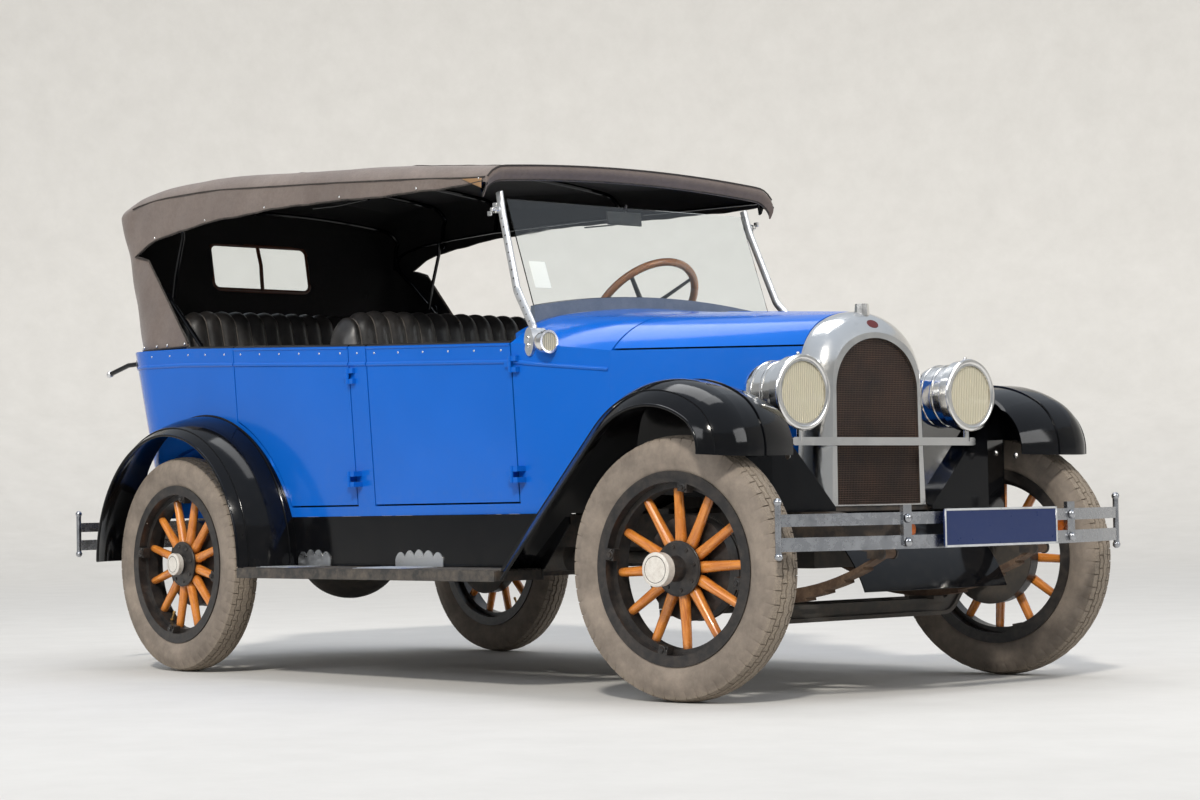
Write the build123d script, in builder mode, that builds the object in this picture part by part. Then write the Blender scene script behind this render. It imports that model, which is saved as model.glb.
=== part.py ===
from build123d import *
import os
from math import asin, atan2, cos, degrees, radians, sin, sqrt, tan

os.makedirs("parts", exist_ok=True)

# Touring car of the 1920s, millimetres: +X forward, +Y to the left, +Z up, origin on the ground at mid length

# Layout
length = 4000
wheelbase = 2546
track = 1422
front_axle_x = 1410
rear_axle_x = front_axle_x - wheelbase
rest_steer = 8          # degrees to the left, as the car stands
kingpin_y = 600
fit_gap = 0.3           # between seated pieces
pin_gap = 0.5           # radial play at pins and along them
panel_gap = 5.5         # round doors and bonnet tops

# Wheels
tyre_radius = 378
tyre_width = 114
tread_width = 92
rim_radius = 250
flange_radius = 277
rim_width = 102
rim_sheet = 5
felloe_inner = 228
felloe_width = 40
spoke_count = 12
spoke_root_radius = 74
hub_flange_radius = 78
hub_flange = 7
hub_barrel_radius = 30
spindle_radius = 20
drum_radius = 150
drum_sheet = 6
drum_near = 24
drum_far = 66
plate_clearance = 5.5
backing_plate = 4

# Body
sill_z = 538
belt_front_z = 1066
belt_post_z = 1094
belt_rear_z = 1150
sill_half = 640
belt_half = 676
loft_top_z = 1160
wall = 40
tub_rear_belt_x = -1692
tub_rear_sill_x = -1590
tub_corner = 150
door_front_x = 598
door_shut_x = -120
rear_door_front_x = -210
rear_door_rear_x = -886
door_foot_z = 570
door_arch_radius = 534
cowl_front_x = 899
cowl_half_belt = 645
cowl_half_sill = 614
cowl_wall = 25
scuttle_reach = 40
floor_sheet = 18
toe_front_x = 880
toe_high_z = 770
pedal_x = 700

# Bonnet and radiator
bonnet_sheet = 6
radiator_back_x = 1430
radiator_front_x = 1530
core_half = 180
core_top_z = 1045
core_foot_z = 549

# Wings and running boards
wing_sheet = 5
wing_lip_y = 835
crest_y = 715
board_top_z = 368
board_thick = 30
board_inner_y = 640
board_front_x = 730
board_rear_x = -643
crest_radius = 395
crest_centre_z = 520
crest_climb = 43.7      # degrees, slope of the straight stretch
nose_radius = 180
nose_turn = 60          # degrees, where the nose arc takes over
rear_wing_radius = 520
rear_wing_lip_radius = 454

# Frame
rail_y = 331
rail_width = 45
rail_low_z = 430
rail_high_z = 530
horn_x = 1870
horn_z = 412

# Bumpers
bumper_reach = length / 2 - 6
bumper_radius = 1800
bumper_half = 735
bar_thick = 9
clamp_y = 357
bumper_bars = ((425, 463), (493, 527))     # low edge, high edge

# Top
canvas = 8
canopy_half = 632


def axle_frame(x, side, steer=0.0, out=0.0):
    """A plane whose normal is a wheel's axle, pointing outboard, at a distance out from the kingpin line."""
    turn = radians(steer)
    axle = Vector(-side * sin(turn), side * cos(turn), 0)
    start = Vector(x, side * kingpin_y, tyre_radius)
    return Plane(origin=start + axle * out, x_dir=Vector(0, 0, 1), z_dir=axle)


def side_pair(side):
    return "left" if side > 0 else "right"


wheel_out = track / 2 - kingpin_y

# Tyre, in its own frame: +Z outboard along the axle
bead = rim_width / 2 - rim_sheet - fit_gap
shoulder = tyre_radius - 10
with BuildPart() as tyre_form:
    with BuildSketch(Plane.XZ):
        with BuildLine():
            Polyline(
                (flange_radius + fit_gap, -bead), (rim_radius + fit_gap, -bead), (rim_radius + fit_gap, bead),
                (flange_radius + fit_gap, bead),
            )
            for sign in (1, -1):
                ThreePointArc(
                    (flange_radius + fit_gap, sign * bead), (tyre_radius - 52, sign * tyre_width / 2),
                    (shoulder, sign * tread_width / 2),
                )
            ThreePointArc((shoulder, tread_width / 2), (tyre_radius, 0), (shoulder, -tread_width / 2))
        make_face()
    revolve(axis=Axis.Z)

# Wooden spokes on their solid root ring
wood_half = felloe_width / 2 - 3
spoke_sections = ((spoke_root_radius - 6, 34, 32), (felloe_inner - 0.6, 27, 29))      # radius, width, depth
with BuildPart() as spoke_form:
    for radius, wide, deep in spoke_sections:
        with BuildSketch(Plane.YZ.offset(radius)):
            Ellipse(wide / 2, deep / 2)
    loft(ruled=True)


def spoke_ring(first):
    with BuildPart() as ring:
        with BuildSketch(Plane.XY.offset(-wood_half)):
            Circle(spoke_root_radius)
            Circle(hub_barrel_radius + fit_gap, mode=Mode.SUBTRACT)
        extrude(amount=2 * wood_half)
        with PolarLocations(0, spoke_count, start_angle=first):
            add(spoke_form.part)
    return ring


# Felloe, rim and lugs as one ring; hub, drum and cap as one turned piece inside it
base_radius = rim_radius - rim_sheet
half_rim = rim_width / 2
half_felloe = felloe_width / 2
web = wood_half + fit_gap
bore_end = 44


def wheel_metal(cap_reach, cap_radius, cap_length):
    with BuildPart() as metal:
        with BuildSketch(Plane.XZ):
            with BuildLine():
                Polyline(
                    (felloe_inner, -half_felloe), (base_radius, -half_felloe), (base_radius, -half_rim),
                    (flange_radius, -half_rim), (flange_radius, -half_rim + rim_sheet),
                    (rim_radius, -half_rim + rim_sheet), (rim_radius, half_rim - rim_sheet),
                    (flange_radius, half_rim - rim_sheet), (flange_radius, half_rim),
                    (base_radius, half_rim), (base_radius, half_felloe), (felloe_inner, half_felloe),
                    close=True,
                )
            make_face()
        revolve(axis=Axis.Z)
        with BuildSketch(Plane.XY.offset(half_felloe)):
            with PolarLocations(base_radius - 12, 4, start_angle=80):
                Rectangle(26, 34)
        extrude(amount=half_rim - half_felloe - 4)
        with BuildSketch(Plane.XZ):
            with BuildLine():
                Polyline(
                    (spindle_radius + pin_gap, -drum_far), (hub_barrel_radius, -drum_far),
                    (hub_barrel_radius, -drum_near - drum_sheet),
                    (drum_radius - drum_sheet, -drum_near - drum_sheet),
                    (drum_radius - drum_sheet, -drum_far), (drum_radius, -drum_far),
                    (drum_radius, -drum_near), (hub_flange_radius, -drum_near),
                    (hub_flange_radius, -web), (hub_barrel_radius, -web), (hub_barrel_radius, web),
                    (hub_flange_radius, web), (hub_flange_radius, web + hub_flange),
                    (hub_barrel_radius + 6, web + hub_flange + 8),
                    (hub_barrel_radius + 4, cap_reach - cap_length),
                    (cap_radius, cap_reach - cap_length + 6), (cap_radius, cap_reach - 5),
                    (cap_radius - 5, cap_reach), (0, cap_reach), (0, bore_end),
                    (spindle_radius + pin_gap, bore_end), close=True,
                )
            make_face()
        revolve(axis=Axis.Z)
    return metal


# Wheels: side, axle x, steer, hub cap reach, radius and length, first spoke, place
wheel_table = (
    (1, front_axle_x, rest_steer, 126, 47, 32, 3, "front_left"),
    (-1, front_axle_x, rest_steer, 126, 47, 32, 3, "front_right"),
    (1, rear_axle_x, 0, 64, 37, 24, 16, "rear_left"),
    (-1, rear_axle_x, 0, 64, 37, 24, 16, "rear_right"),
)
for side, axle_x, steer, cap_reach, cap_radius, cap_length, first, place in wheel_table:
    frame = axle_frame(axle_x, side, steer, wheel_out)
    with BuildPart(frame) as tyre:
        add(tyre_form.part)
    tyre.part.label = f"tyre_{place}"
    export_step(tyre.part, f"parts/tyre_{place}.step")
    with BuildPart(frame) as spokes:
        add(spoke_ring(first).part)
    spokes.part.label = f"spokes_{place}"
    export_step(spokes.part, f"parts/spokes_{place}.step")
    with BuildPart(frame) as metal:
        add(wheel_metal(cap_reach, cap_radius, cap_length).part)
    metal.part.label = f"rim_and_hub_{place}"
    export_step(metal.part, f"parts/rim_and_hub_{place}.step")

# Knuckles: backing plate, spindle, fork, kingpin and arms, built round the kingpin line
eye_half = 38
eye_radius = 22
ear = 18
kingpin_radius = 11
plate_out = wheel_out - drum_far - plate_clearance
fork_web = 10
tie_arm = 160
tie_rod_z = 245
ball_radius = 7
rod_radius = 11
drag_arm = 165
drag_z = 454
drag_radius = 12


def knuckle_solid(side):
    kingpin = Vector(front_axle_x, side * kingpin_y, tyre_radius)
    frame = axle_frame(front_axle_x, side, rest_steer)
    turned = Plane(origin=kingpin, x_dir=(cos(radians(rest_steer)), sin(radians(rest_steer)), 0), z_dir=(0, 0, 1))
    with BuildPart() as knuckle:
        with BuildSketch(frame.offset(plate_out - backing_plate)):
            Circle(drum_radius + 2)
        extrude(amount=backing_plate)
        with BuildSketch(frame.offset(plate_out - backing_plate)):
            Circle(spindle_radius)
        extrude(amount=wheel_out - plate_out + backing_plate + 36)
        with BuildSketch(turned.offset(-eye_half - pin_gap - ear)):
            with Locations((0, side * (plate_out - backing_plate - fork_web / 2))):
                Rectangle(2 * eye_radius, fork_web)
        extrude(amount=2 * (eye_half + pin_gap + ear))
        for low in (-eye_half - pin_gap - ear, eye_half + pin_gap):
            with BuildSketch(turned.offset(low)):
                Circle(eye_radius)
                with Locations((0, side * (plate_out - backing_plate) / 2)):
                    Rectangle(2 * eye_radius, plate_out - backing_plate)
            extrude(amount=ear)
        with BuildSketch(turned.offset(-eye_half - pin_gap - ear - 6)):
            Circle(kingpin_radius)
        extrude(amount=2 * (eye_half + pin_gap + ear + 6))
        low_ear = -eye_half - pin_gap
        ball_z = tie_rod_z - tyre_radius
        with BuildSketch(Plane(origin=kingpin, x_dir=turned.x_dir, z_dir=-turned.y_dir)):
            Polygon(
                (0, low_ear - ear), (0, low_ear), (-40, low_ear), (-tie_arm + 6, ball_z + 30),
                (-tie_arm - 14, ball_z + 30), (-tie_arm - 14, ball_z + 12), (-tie_arm + 6, ball_z + 12),
                (-40, low_ear - ear), align=None,
            )
        extrude(amount=11, both=True)
        with BuildSketch(turned.offset(ball_z - 14)):
            with Locations((-tie_arm, 0)):
                Circle(ball_radius)
        extrude(amount=28)
        if side > 0:
            with BuildSketch(turned.offset(eye_half + pin_gap)):
                with Locations((0, -drag_arm / 2)):
                    Rectangle(24, drag_arm)
                with Locations((0, -drag_arm)):
                    Circle(18)
            extrude(amount=ear)
    return knuckle


for side in (1, -1):
    knuckle = knuckle_solid(side)
    knuckle.part.label = f"knuckle_{side_pair(side)}"
    export_step(knuckle.part, f"parts/knuckle_{side_pair(side)}.step")

# Tie rod between the two ball pins behind the axle
ball_x = front_axle_x - tie_arm * cos(radians(rest_steer))
ball_shift = -tie_arm * sin(radians(rest_steer))
with BuildPart() as tie_rod:
    for side in (1, -1):
        with BuildSketch(Plane.XY.offset(tie_rod_z - 10)):
            with Locations((ball_x, side * kingpin_y + ball_shift)):
                Circle(ball_radius + 9)
        extrude(amount=20)
    with BuildSketch(Plane.XZ.offset(-(kingpin_y + ball_shift))):
        with Locations((ball_x, tie_rod_z)):
            Circle(rod_radius)
    extrude(amount=2 * kingpin_y)
    for side in (1, -1):
        with BuildSketch(Plane.XY.offset(tie_rod_z - 20)):
            with Locations((ball_x, side * kingpin_y + ball_shift)):
                Circle(ball_radius + pin_gap)
        extrude(amount=40, mode=Mode.SUBTRACT)
tie_rod.part.label = "tie_rod"
export_step(tie_rod.part, "parts/tie_rod.step")

# Steering: box on the left rail, drop arm outside it, drag link forward to the left knuckle, column up to the wheel
box_x = 830
drop_radius = 165
drop_pivot_z = drag_z + drop_radius
drag_y = kingpin_y - drag_arm * cos(radians(rest_steer))
drag_front_x = front_axle_x + drag_arm * sin(radians(rest_steer))
drop_rest = asin(drag_arm * sin(radians(rest_steer)) / drop_radius)
drop_ball_x = box_x + drop_radius * sin(drop_rest)
drop_ball_z = drop_pivot_z - drop_radius * cos(drop_rest)
wheel_centre = Vector(140, 330, 1230)
column_foot = Vector(box_x, 330, drop_pivot_z)
column_dir = (wheel_centre - column_foot).normalized()
arm_thick = 14
with BuildPart() as drop_arm:
    with BuildSketch(Plane.XZ.offset(-(drag_y - drag_radius - 3))):
        with BuildLine():
            Line((box_x, drop_pivot_z), (drop_ball_x, drop_ball_z))
        trace(line_width=26)
        for x, z, radius in ((box_x, drop_pivot_z, 24), (drop_ball_x, drop_ball_z, 17)):
            with Locations((x, z)):
                Circle(radius)
        with Locations((box_x, drop_pivot_z)):
            Circle(12 + pin_gap, mode=Mode.SUBTRACT)
    extrude(amount=arm_thick)
    with BuildSketch(Plane.XZ.offset(-(drag_y - drag_radius - 3))):
        with Locations((drop_ball_x, drop_ball_z)):
            Circle(8)
    extrude(amount=-(2 * drag_radius + 8))
drop_arm.part.label = "drop_arm"
export_step(drop_arm.part, "parts/drop_arm.step")

with BuildPart() as drag_link:
    with BuildSketch(Plane.XZ.offset(-(drag_y - drag_radius))):
        with Locations((drop_ball_x, drop_ball_z)):
            Circle(20)
    extrude(amount=-2 * drag_radius)
    with BuildSketch(Plane.YZ.offset(drop_ball_x)):
        with Locations((drag_y, drop_ball_z)):
            Circle(drag_radius)
    extrude(amount=drag_front_x - drop_ball_x)
    with BuildSketch(Plane.XY.offset(drop_ball_z - 14)):
        with Locations((drag_front_x, drag_y)):
            Circle(19)
    extrude(amount=34)
    with BuildSketch(Plane.XZ.offset(-(drag_y - drag_radius - 4))):
        with Locations((drop_ball_x, drop_ball_z)):
            Circle(8 + pin_gap)
    extrude(amount=-(2 * drag_radius + 8), mode=Mode.SUBTRACT)
drag_link.part.label = "drag_link"
export_step(drag_link.part, "parts/drag_link.step")

rim_wood = 14
steering_radius = 206
column_radius = 19
boss_plane = Plane(origin=wheel_centre, x_dir=(0, 1, 0), z_dir=column_dir)
with BuildPart() as steering_wheel:
    with BuildSketch(Plane(origin=wheel_centre, x_dir=(0, 1, 0), z_dir=Vector(0, 1, 0).cross(column_dir))):
        with Locations((steering_radius, 0)):
            Ellipse(rim_wood, rim_wood - 2)
    revolve(axis=Axis(wheel_centre, column_dir))
    with BuildSketch(boss_plane.offset(-34)):
        Circle(34)
    extrude(amount=40)
    for angle in (45, 135, 225, 315):
        reach = boss_plane.x_dir * cos(radians(angle)) + boss_plane.y_dir * sin(radians(angle))
        with BuildSketch(Plane(origin=wheel_centre - column_dir * 8, x_dir=column_dir, z_dir=reach)):
            RectangleRounded(10, 26, 4)
        extrude(amount=steering_radius)
steering_wheel.part.label = "steering_wheel"
export_step(steering_wheel.part, "parts/steering_wheel.step")

box_high = 134
with BuildPart() as controls:
    with BuildSketch(Plane.XZ.offset(-(rail_y - 21))):
        with Locations((box_x, rail_high_z + fit_gap + box_high / 2)):
            RectangleRounded(92, box_high, 14)
    extrude(amount=-90)
    with BuildSketch(Plane.XZ.offset(-(rail_y + 60))):
        with Locations((box_x, drop_pivot_z)):
            Circle(12)
    extrude(amount=-(drag_y - drag_radius - 3 - rail_y - 60 + 2))
    with BuildSketch(Plane(origin=column_foot, x_dir=(0, 1, 0), z_dir=column_dir)):
        Circle(column_radius)
    extrude(amount=(wheel_centre - column_foot).length - 35)
    # Gear lever and brake lever stand on the floor, three pedals on the toe board
    floor_top = sill_z + floor_sheet
    toe_slope = atan2(toe_high_z - floor_top, toe_front_x - door_front_x)
    toe_normal = Vector(-sin(toe_slope), 0, cos(toe_slope))
    for x0, y0, x1, z1, radius in ((415, 0, 362, 900, 9), (430, -60, 404, 800, 8)):
        foot = Vector(x0, y0, floor_top + fit_gap + radius * (x0 - x1) / (z1 - floor_top))
        lever = Vector(x1, y0, z1) - foot
        with BuildSketch(Plane(origin=foot, x_dir=(0, 1, 0), z_dir=lever)):
            Circle(radius)
        extrude(amount=lever.length)
        with Locations(Vector(x1, y0, z1)):
            Sphere(radius + 13)
    for y0 in (400, 262, 190):
        foot = Vector(pedal_x, y0, floor_top + (pedal_x - door_front_x) * tan(toe_slope)) + toe_normal * 1
        with BuildSketch(Plane(origin=foot, x_dir=(0, 1, 0), z_dir=toe_normal)):
            Circle(8)
        extrude(amount=90)
        with BuildSketch(Plane(origin=foot + toe_normal * 80, x_dir=(0, 1, 0), z_dir=toe_normal)):
            Ellipse(34, 26)
        extrude(amount=10)
controls.part.label = "steering_column_and_levers"
export_step(controls.part, "parts/steering_column_and_levers.step")

# Body shell: two plan outlines lofted, the cabin cut out of it, the belt line cut along its top
tub_taper_x = -500


def tub_sketch(z, half, front_half, tail_x, inset):
    """Plan outline of the tub at one height, inset from its outer face."""
    corner = tub_corner - inset
    side_y, tail = half - inset, tail_x + inset
    with BuildSketch(Plane.XY.offset(z)) as outline:
        with BuildLine():
            back = Line((tail, 0), (tail, side_y - corner))
            bend = TangentArc(back @ 1, (tail + corner, side_y), tangent=(0, 1))
            straight = Line(bend @ 1, (tub_taper_x, side_y))
            taper = TangentArc(straight @ 1, (door_front_x, front_half - inset), tangent=(1, 0))
            Line(taper @ 1, (door_front_x, 0))
            mirror(about=Plane.XZ)
        make_face()
    return outline


tub_heights = (
    (sill_z, sill_half, cowl_half_sill, tub_rear_sill_x),
    (loft_top_z, belt_half + 4, cowl_half_belt + 6, tub_rear_belt_x - 14),
)
with BuildPart() as body_shell:
    loft([tub_sketch(*row, 0).sketch.face() for row in tub_heights], ruled=True)
    loft([tub_sketch(*row, wall).sketch.face() for row in tub_heights], ruled=True, mode=Mode.SUBTRACT)
    with BuildSketch(Plane.XZ):
        Polygon(
            (-1800, sill_z), (-1800, belt_rear_z), (-1520, belt_rear_z), (-1192, 1144), (door_shut_x, belt_post_z),
            (door_front_x, belt_front_z), (door_front_x, sill_z), align=None,
        )
    extrude(amount=900, both=True, mode=Mode.INTERSECT)
    # Recesses over the rear tyres, on the outer face only
    for side in (1, -1):
        with BuildSketch(Plane.XZ.offset(-side * 628)):
            with Locations((rear_axle_x, tyre_radius)):
                Circle(tyre_radius + 34)
        extrude(amount=-side * 100, mode=Mode.SUBTRACT)

wing_centre = (-1090, tyre_radius)


def door_sketch(gap, rear):
    """One door opening seen from the side, drawn smaller all round by gap."""
    low_x, high_x = (rear_door_rear_x, rear_door_front_x) if rear else (door_shut_x, door_front_x)
    with BuildSketch(Plane.XZ) as opening:
        Polygon(
            (low_x + gap, door_foot_z + gap), (high_x - gap, door_foot_z + gap), (high_x - gap, 1300),
            (low_x + gap, 1300), align=None,
        )
        if rear:
            with Locations(wing_centre):
                Circle(door_arch_radius + gap, mode=Mode.SUBTRACT)
    return opening


# Door hinges: a barrel on the door between two on the body, round a standing pin
hinge_heights = (1000, 660)
barrel_radius = 6.5
hinge_pin_radius = 3
barrel_high = 17
leaf_long = 28
front_hinge_y = cowl_half_sill + (1040 - sill_z) * (cowl_half_belt + 6 - cowl_half_sill) / (loft_top_z - sill_z) + 7.3
rear_hinge_y = sill_half + (1040 - sill_z) * (belt_half + 4 - sill_half) / (loft_top_z - sill_z) + 7.3


def hinge_form(side, rear, fixed):
    """Barrels with their leaves, those of the body or those of the door."""
    x, y = (rear_door_front_x, rear_hinge_y) if rear else (door_front_x, front_hinge_y)
    toward = 1 if fixed else -1
    edge = fit_gap if fixed else panel_gap
    half = barrel_high / 2
    levels = ((-3 * half, -half - 2 * fit_gap), (half + 2 * fit_gap, 3 * half)) if fixed else ((-half, half),)
    with BuildPart() as form:
        for z in hinge_heights:
            for low, high in levels:
                with BuildSketch(Plane.XY.offset(z + low)):
                    with Locations((x, side * y)):
                        Circle(barrel_radius)
                    with Locations((x + toward * leaf_long / 2, side * (y - barrel_radius / 2))):
                        Rectangle(leaf_long, barrel_radius)
                    with Locations((x + toward * (leaf_long + edge) / 2, side * (y - 21))):
                        Rectangle(leaf_long - edge, 42)
                extrude(amount=high - low)
            if fixed:
                with BuildSketch(Plane.XY.offset(z - half - 4)):
                    with Locations((x, side * y)):
                        Circle(hinge_pin_radius)
                extrude(amount=barrel_high + 8)
    return form


def hinge_bore(side, rear):
    x, y = (rear_door_front_x, rear_hinge_y) if rear else (door_front_x, front_hinge_y)
    with BuildPart() as bore:
        with BuildSketch(Plane.XY.offset(hinge_heights[-1] - barrel_high)):
            with Locations((x, side * y)):
                Circle(hinge_pin_radius + pin_gap)
        extrude(amount=hinge_heights[0] - hinge_heights[-1] + 2 * barrel_high)
    return bore


for side in (1, -1):
    for rear in (False, True):
        with BuildPart() as door:
            add(body_shell.part)
            extrude(door_sketch(panel_gap, rear).sketch, amount=900, both=True, mode=Mode.INTERSECT)
            split(bisect_by=Plane.XZ, keep=Keep.BOTTOM if side > 0 else Keep.TOP)
            add(hinge_form(side, rear, False).part)
            add(hinge_bore(side, rear).part, mode=Mode.SUBTRACT)
        label = f"{'rear' if rear else 'front'}_door_{side_pair(side)}"
        door.part.label = label
        export_step(door.part, f"parts/{label}.step")

with BuildPart() as body_sides:
    add(body_shell.part)
    with BuildSketch(Plane.XZ):
        Polygon(
            (rear_door_rear_x, sill_z), (door_front_x, sill_z), (door_front_x, 1300), (rear_door_rear_x, 1300),
            align=None,
        )
        with Locations(wing_centre):
            Circle(door_arch_radius, mode=Mode.SUBTRACT)
    extrude(amount=900, both=True, mode=Mode.INTERSECT)
    for rear in (False, True):
        extrude(door_sketch(0, rear).sketch, amount=900, both=True, mode=Mode.SUBTRACT)
body_sides.part.label = "sills_and_centre_posts"
export_step(body_sides.part, "parts/sills_and_centre_posts.step")

with BuildPart() as rear_tub:
    add(body_shell.part)
    with BuildSketch(Plane.XZ):
        Polygon(
            (rear_door_rear_x - fit_gap, sill_z - 10), (door_front_x + 10, sill_z - 10), (door_front_x + 10, 1300),
            (rear_door_rear_x - fit_gap, 1300), align=None,
        )
        with Locations(wing_centre):
            Circle(door_arch_radius - fit_gap, mode=Mode.SUBTRACT)
    extrude(amount=900, both=True, mode=Mode.SUBTRACT)
rear_tub.part.label = "rear_tub"
export_step(rear_tub.part, "parts/rear_tub.step")

# Cowl and bonnet: half outlines as crown arc, shoulder arc and flat side
# Columns: x, crown z, crown arc's end (y, z), joint with the side (y, z), foot (y, z)
cowl_sections = (
    (door_front_x, 1192, (400, 1163), (cowl_half_belt, belt_front_z), (cowl_half_sill, sill_z)),
    (750, 1176, (360, 1149), (594, 1050), (584, sill_z)),
    (cowl_front_x, 1163, (300, 1138), (500, 1030), (536, sill_z)),
)
bonnet_sections = (
    (cowl_front_x, 1163, (300, 1138), (500, 1030), (530, 610)),
    (radiator_back_x, 1128, (120, 1103), (201, 1021), (240, 560)),
)
radiator_sections = (
    (radiator_back_x, 1128, (130, 1098), (228, 930), (246, 545)),
    (1500, 1108, (124, 1078), (219, 915), (232, 545)),
    (radiator_front_x, 1062, (112, 1036), (190, 900), (203, 545)),
)


def arched_sketch(section, inset):
    """A closed outline across the car, arched on top, inset from its outer face."""
    x, crown, knee, joint, foot = section
    with BuildSketch(Plane.YZ.offset(x)) as outline:
        with BuildLine():
            top = TangentArc(
                (0, crown - inset), (knee[0] - 0.3 * inset, knee[1] - 0.95 * inset), tangent=(1, 0)
            )
            shoulder_arc = TangentArc(top @ 1, (joint[0] - inset, joint[1] - 0.4 * inset), tangent=top % 1)
            flank = Line(shoulder_arc @ 1, (foot[0] - inset, foot[1]))
            Line(flank @ 1, (0, foot[1]))
            mirror(about=Plane.YZ)
        make_face()
    return outline


def arched_faces(sections, inset):
    return [arched_sketch(section, inset).sketch.face() for section in sections]


with BuildPart() as cowl_block:
    loft(arched_faces(cowl_sections, 0))
with BuildPart() as cowl_panel:
    add(cowl_block.part)
    loft(arched_faces(cowl_sections, cowl_wall), mode=Mode.SUBTRACT)
# Scuttle lip under the windscreen, between the doors
with BuildPart() as scuttle:
    extrude(arched_sketch(cowl_sections[0], 0).sketch, amount=scuttle_reach, dir=(-1, 0, 0))
    extrude(arched_sketch(cowl_sections[0], cowl_wall).sketch, amount=scuttle_reach, dir=(-1, 0, 0), mode=Mode.SUBTRACT)
    with BuildSketch(Plane.YZ.offset(door_front_x)):
        with Locations((0, 1150)):
            Rectangle(2 * (cowl_half_belt - wall - 14), 140)
    extrude(amount=-scuttle_reach, mode=Mode.INTERSECT)
with BuildPart() as cowl:
    add(cowl_panel.part)
    add(scuttle.part)
cowl.part.label = "cowl"
export_step(cowl.part, "parts/cowl.step")

with BuildPart() as bonnet_shell:
    loft(arched_faces(bonnet_sections, 0), ruled=True)
    loft(arched_faces(bonnet_sections, bonnet_sheet), ruled=True, mode=Mode.SUBTRACT)
rod_start = Vector(cowl_front_x + 1, 0, 1163 - 3)
rod_end = Vector(radiator_back_x - 1, 0, 1128 - 3)
rod_dir = (rod_end - rod_start).normalized()
hinge_rod_radius = 5
with BuildPart() as bonnet_sides:
    add(bonnet_shell.part)
    with BuildSketch(Plane.XZ):
        Polygon(
            (cowl_front_x, 500), (cowl_front_x, 1030), (radiator_back_x, 1021), (radiator_back_x, 500), align=None
        )
    extrude(amount=700, both=True, mode=Mode.INTERSECT)
    with BuildSketch(Plane(origin=rod_start, x_dir=(0, 1, 0), z_dir=rod_dir)):
        Circle(hinge_rod_radius)
    extrude(amount=(rod_end - rod_start).length)
bonnet_sides.part.label = "bonnet_sides_and_hinge"
export_step(bonnet_sides.part, "parts/bonnet_sides_and_hinge.step")

for side in (1, -1):
    with BuildPart() as bonnet_top:
        add(bonnet_shell.part)
        with BuildSketch(Plane.XZ):
            Polygon(
                (cowl_front_x + panel_gap, 1030 + panel_gap), (cowl_front_x + panel_gap, 1300),
                (radiator_back_x - panel_gap, 1300), (radiator_back_x - panel_gap, 1021 + panel_gap), align=None,
            )
        extrude(amount=700, both=True, mode=Mode.INTERSECT)
        split(bisect_by=Plane.XZ, keep=Keep.BOTTOM if side > 0 else Keep.TOP)
        with BuildSketch(Plane(origin=rod_start, x_dir=(0, 1, 0), z_dir=rod_dir)):
            Circle(hinge_rod_radius + pin_gap)
        extrude(amount=(rod_end - rod_start).length, mode=Mode.SUBTRACT)
    bonnet_top.part.label = f"bonnet_top_{side_pair(side)}"
    export_step(bonnet_top.part, f"parts/bonnet_top_{side_pair(side)}.step")

# Radiator shell, its core and the filler cap
core_back_x = 1442
core_depth = 76
core_section = (core_back_x, core_top_z, (100, core_top_z - 26), (core_half - 3, 890), (core_half, core_foot_z))
with BuildPart() as radiator_shell:
    loft(arched_faces(radiator_sections, 0))
    extrude(arched_sketch(core_section, 0).sketch, amount=200, dir=(1, 0, 0), both=True, mode=Mode.SUBTRACT)
    with BuildSketch(Plane.XY.offset(1090)):
        with Locations((1474, 0)):
            Circle(17)
    extrude(amount=26)
    with BuildSketch(Plane.XY.offset(1114)):
        with Locations((1474, 0)):
            RegularPolygon(23, 8)
    extrude(amount=36, taper=4)
radiator_shell.part.label = "radiator_shell"
export_step(radiator_shell.part, "parts/radiator_shell.step")
with BuildPart() as radiator_core:
    extrude(arched_sketch(core_section, fit_gap).sketch, amount=core_depth, dir=(1, 0, 0))
radiator_core.part.label = "radiator_core"
export_step(radiator_core.part, "parts/radiator_core.step")

# Frame: two rails with front horns, cross members, spring brackets and bumper irons
horn_bend_x = 1640
rail_rear_x = -1700
rail_out = rail_y + rail_width / 2
rail_in = rail_y - rail_width / 2
cross_members = ((-1670, 40, 60), (-760, 50, 60), (120, 50, 50), (1475, 80, 74))     # x, length, height
iron_z = 478
iron_thick = 8
leaf = 8
leaves = 5
spring_width = 44
rear_spring_y = 400
eye_ring = 15
spring_lift = 100       # from the front axle's pads to the eyes
front_spring_half = 448
rear_spring_half = 540
rear_spring_eye_z = 480
rear_spring_sag = 24
cheek = 6


def bar_inner_x(y):
    """The inner face of a bumper bar at a distance y from the centre line."""
    centre_line = bumper_reach - bar_thick / 2 - bumper_radius + sqrt(bumper_radius ** 2 - y ** 2)
    return centre_line - bar_thick / 2


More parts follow.
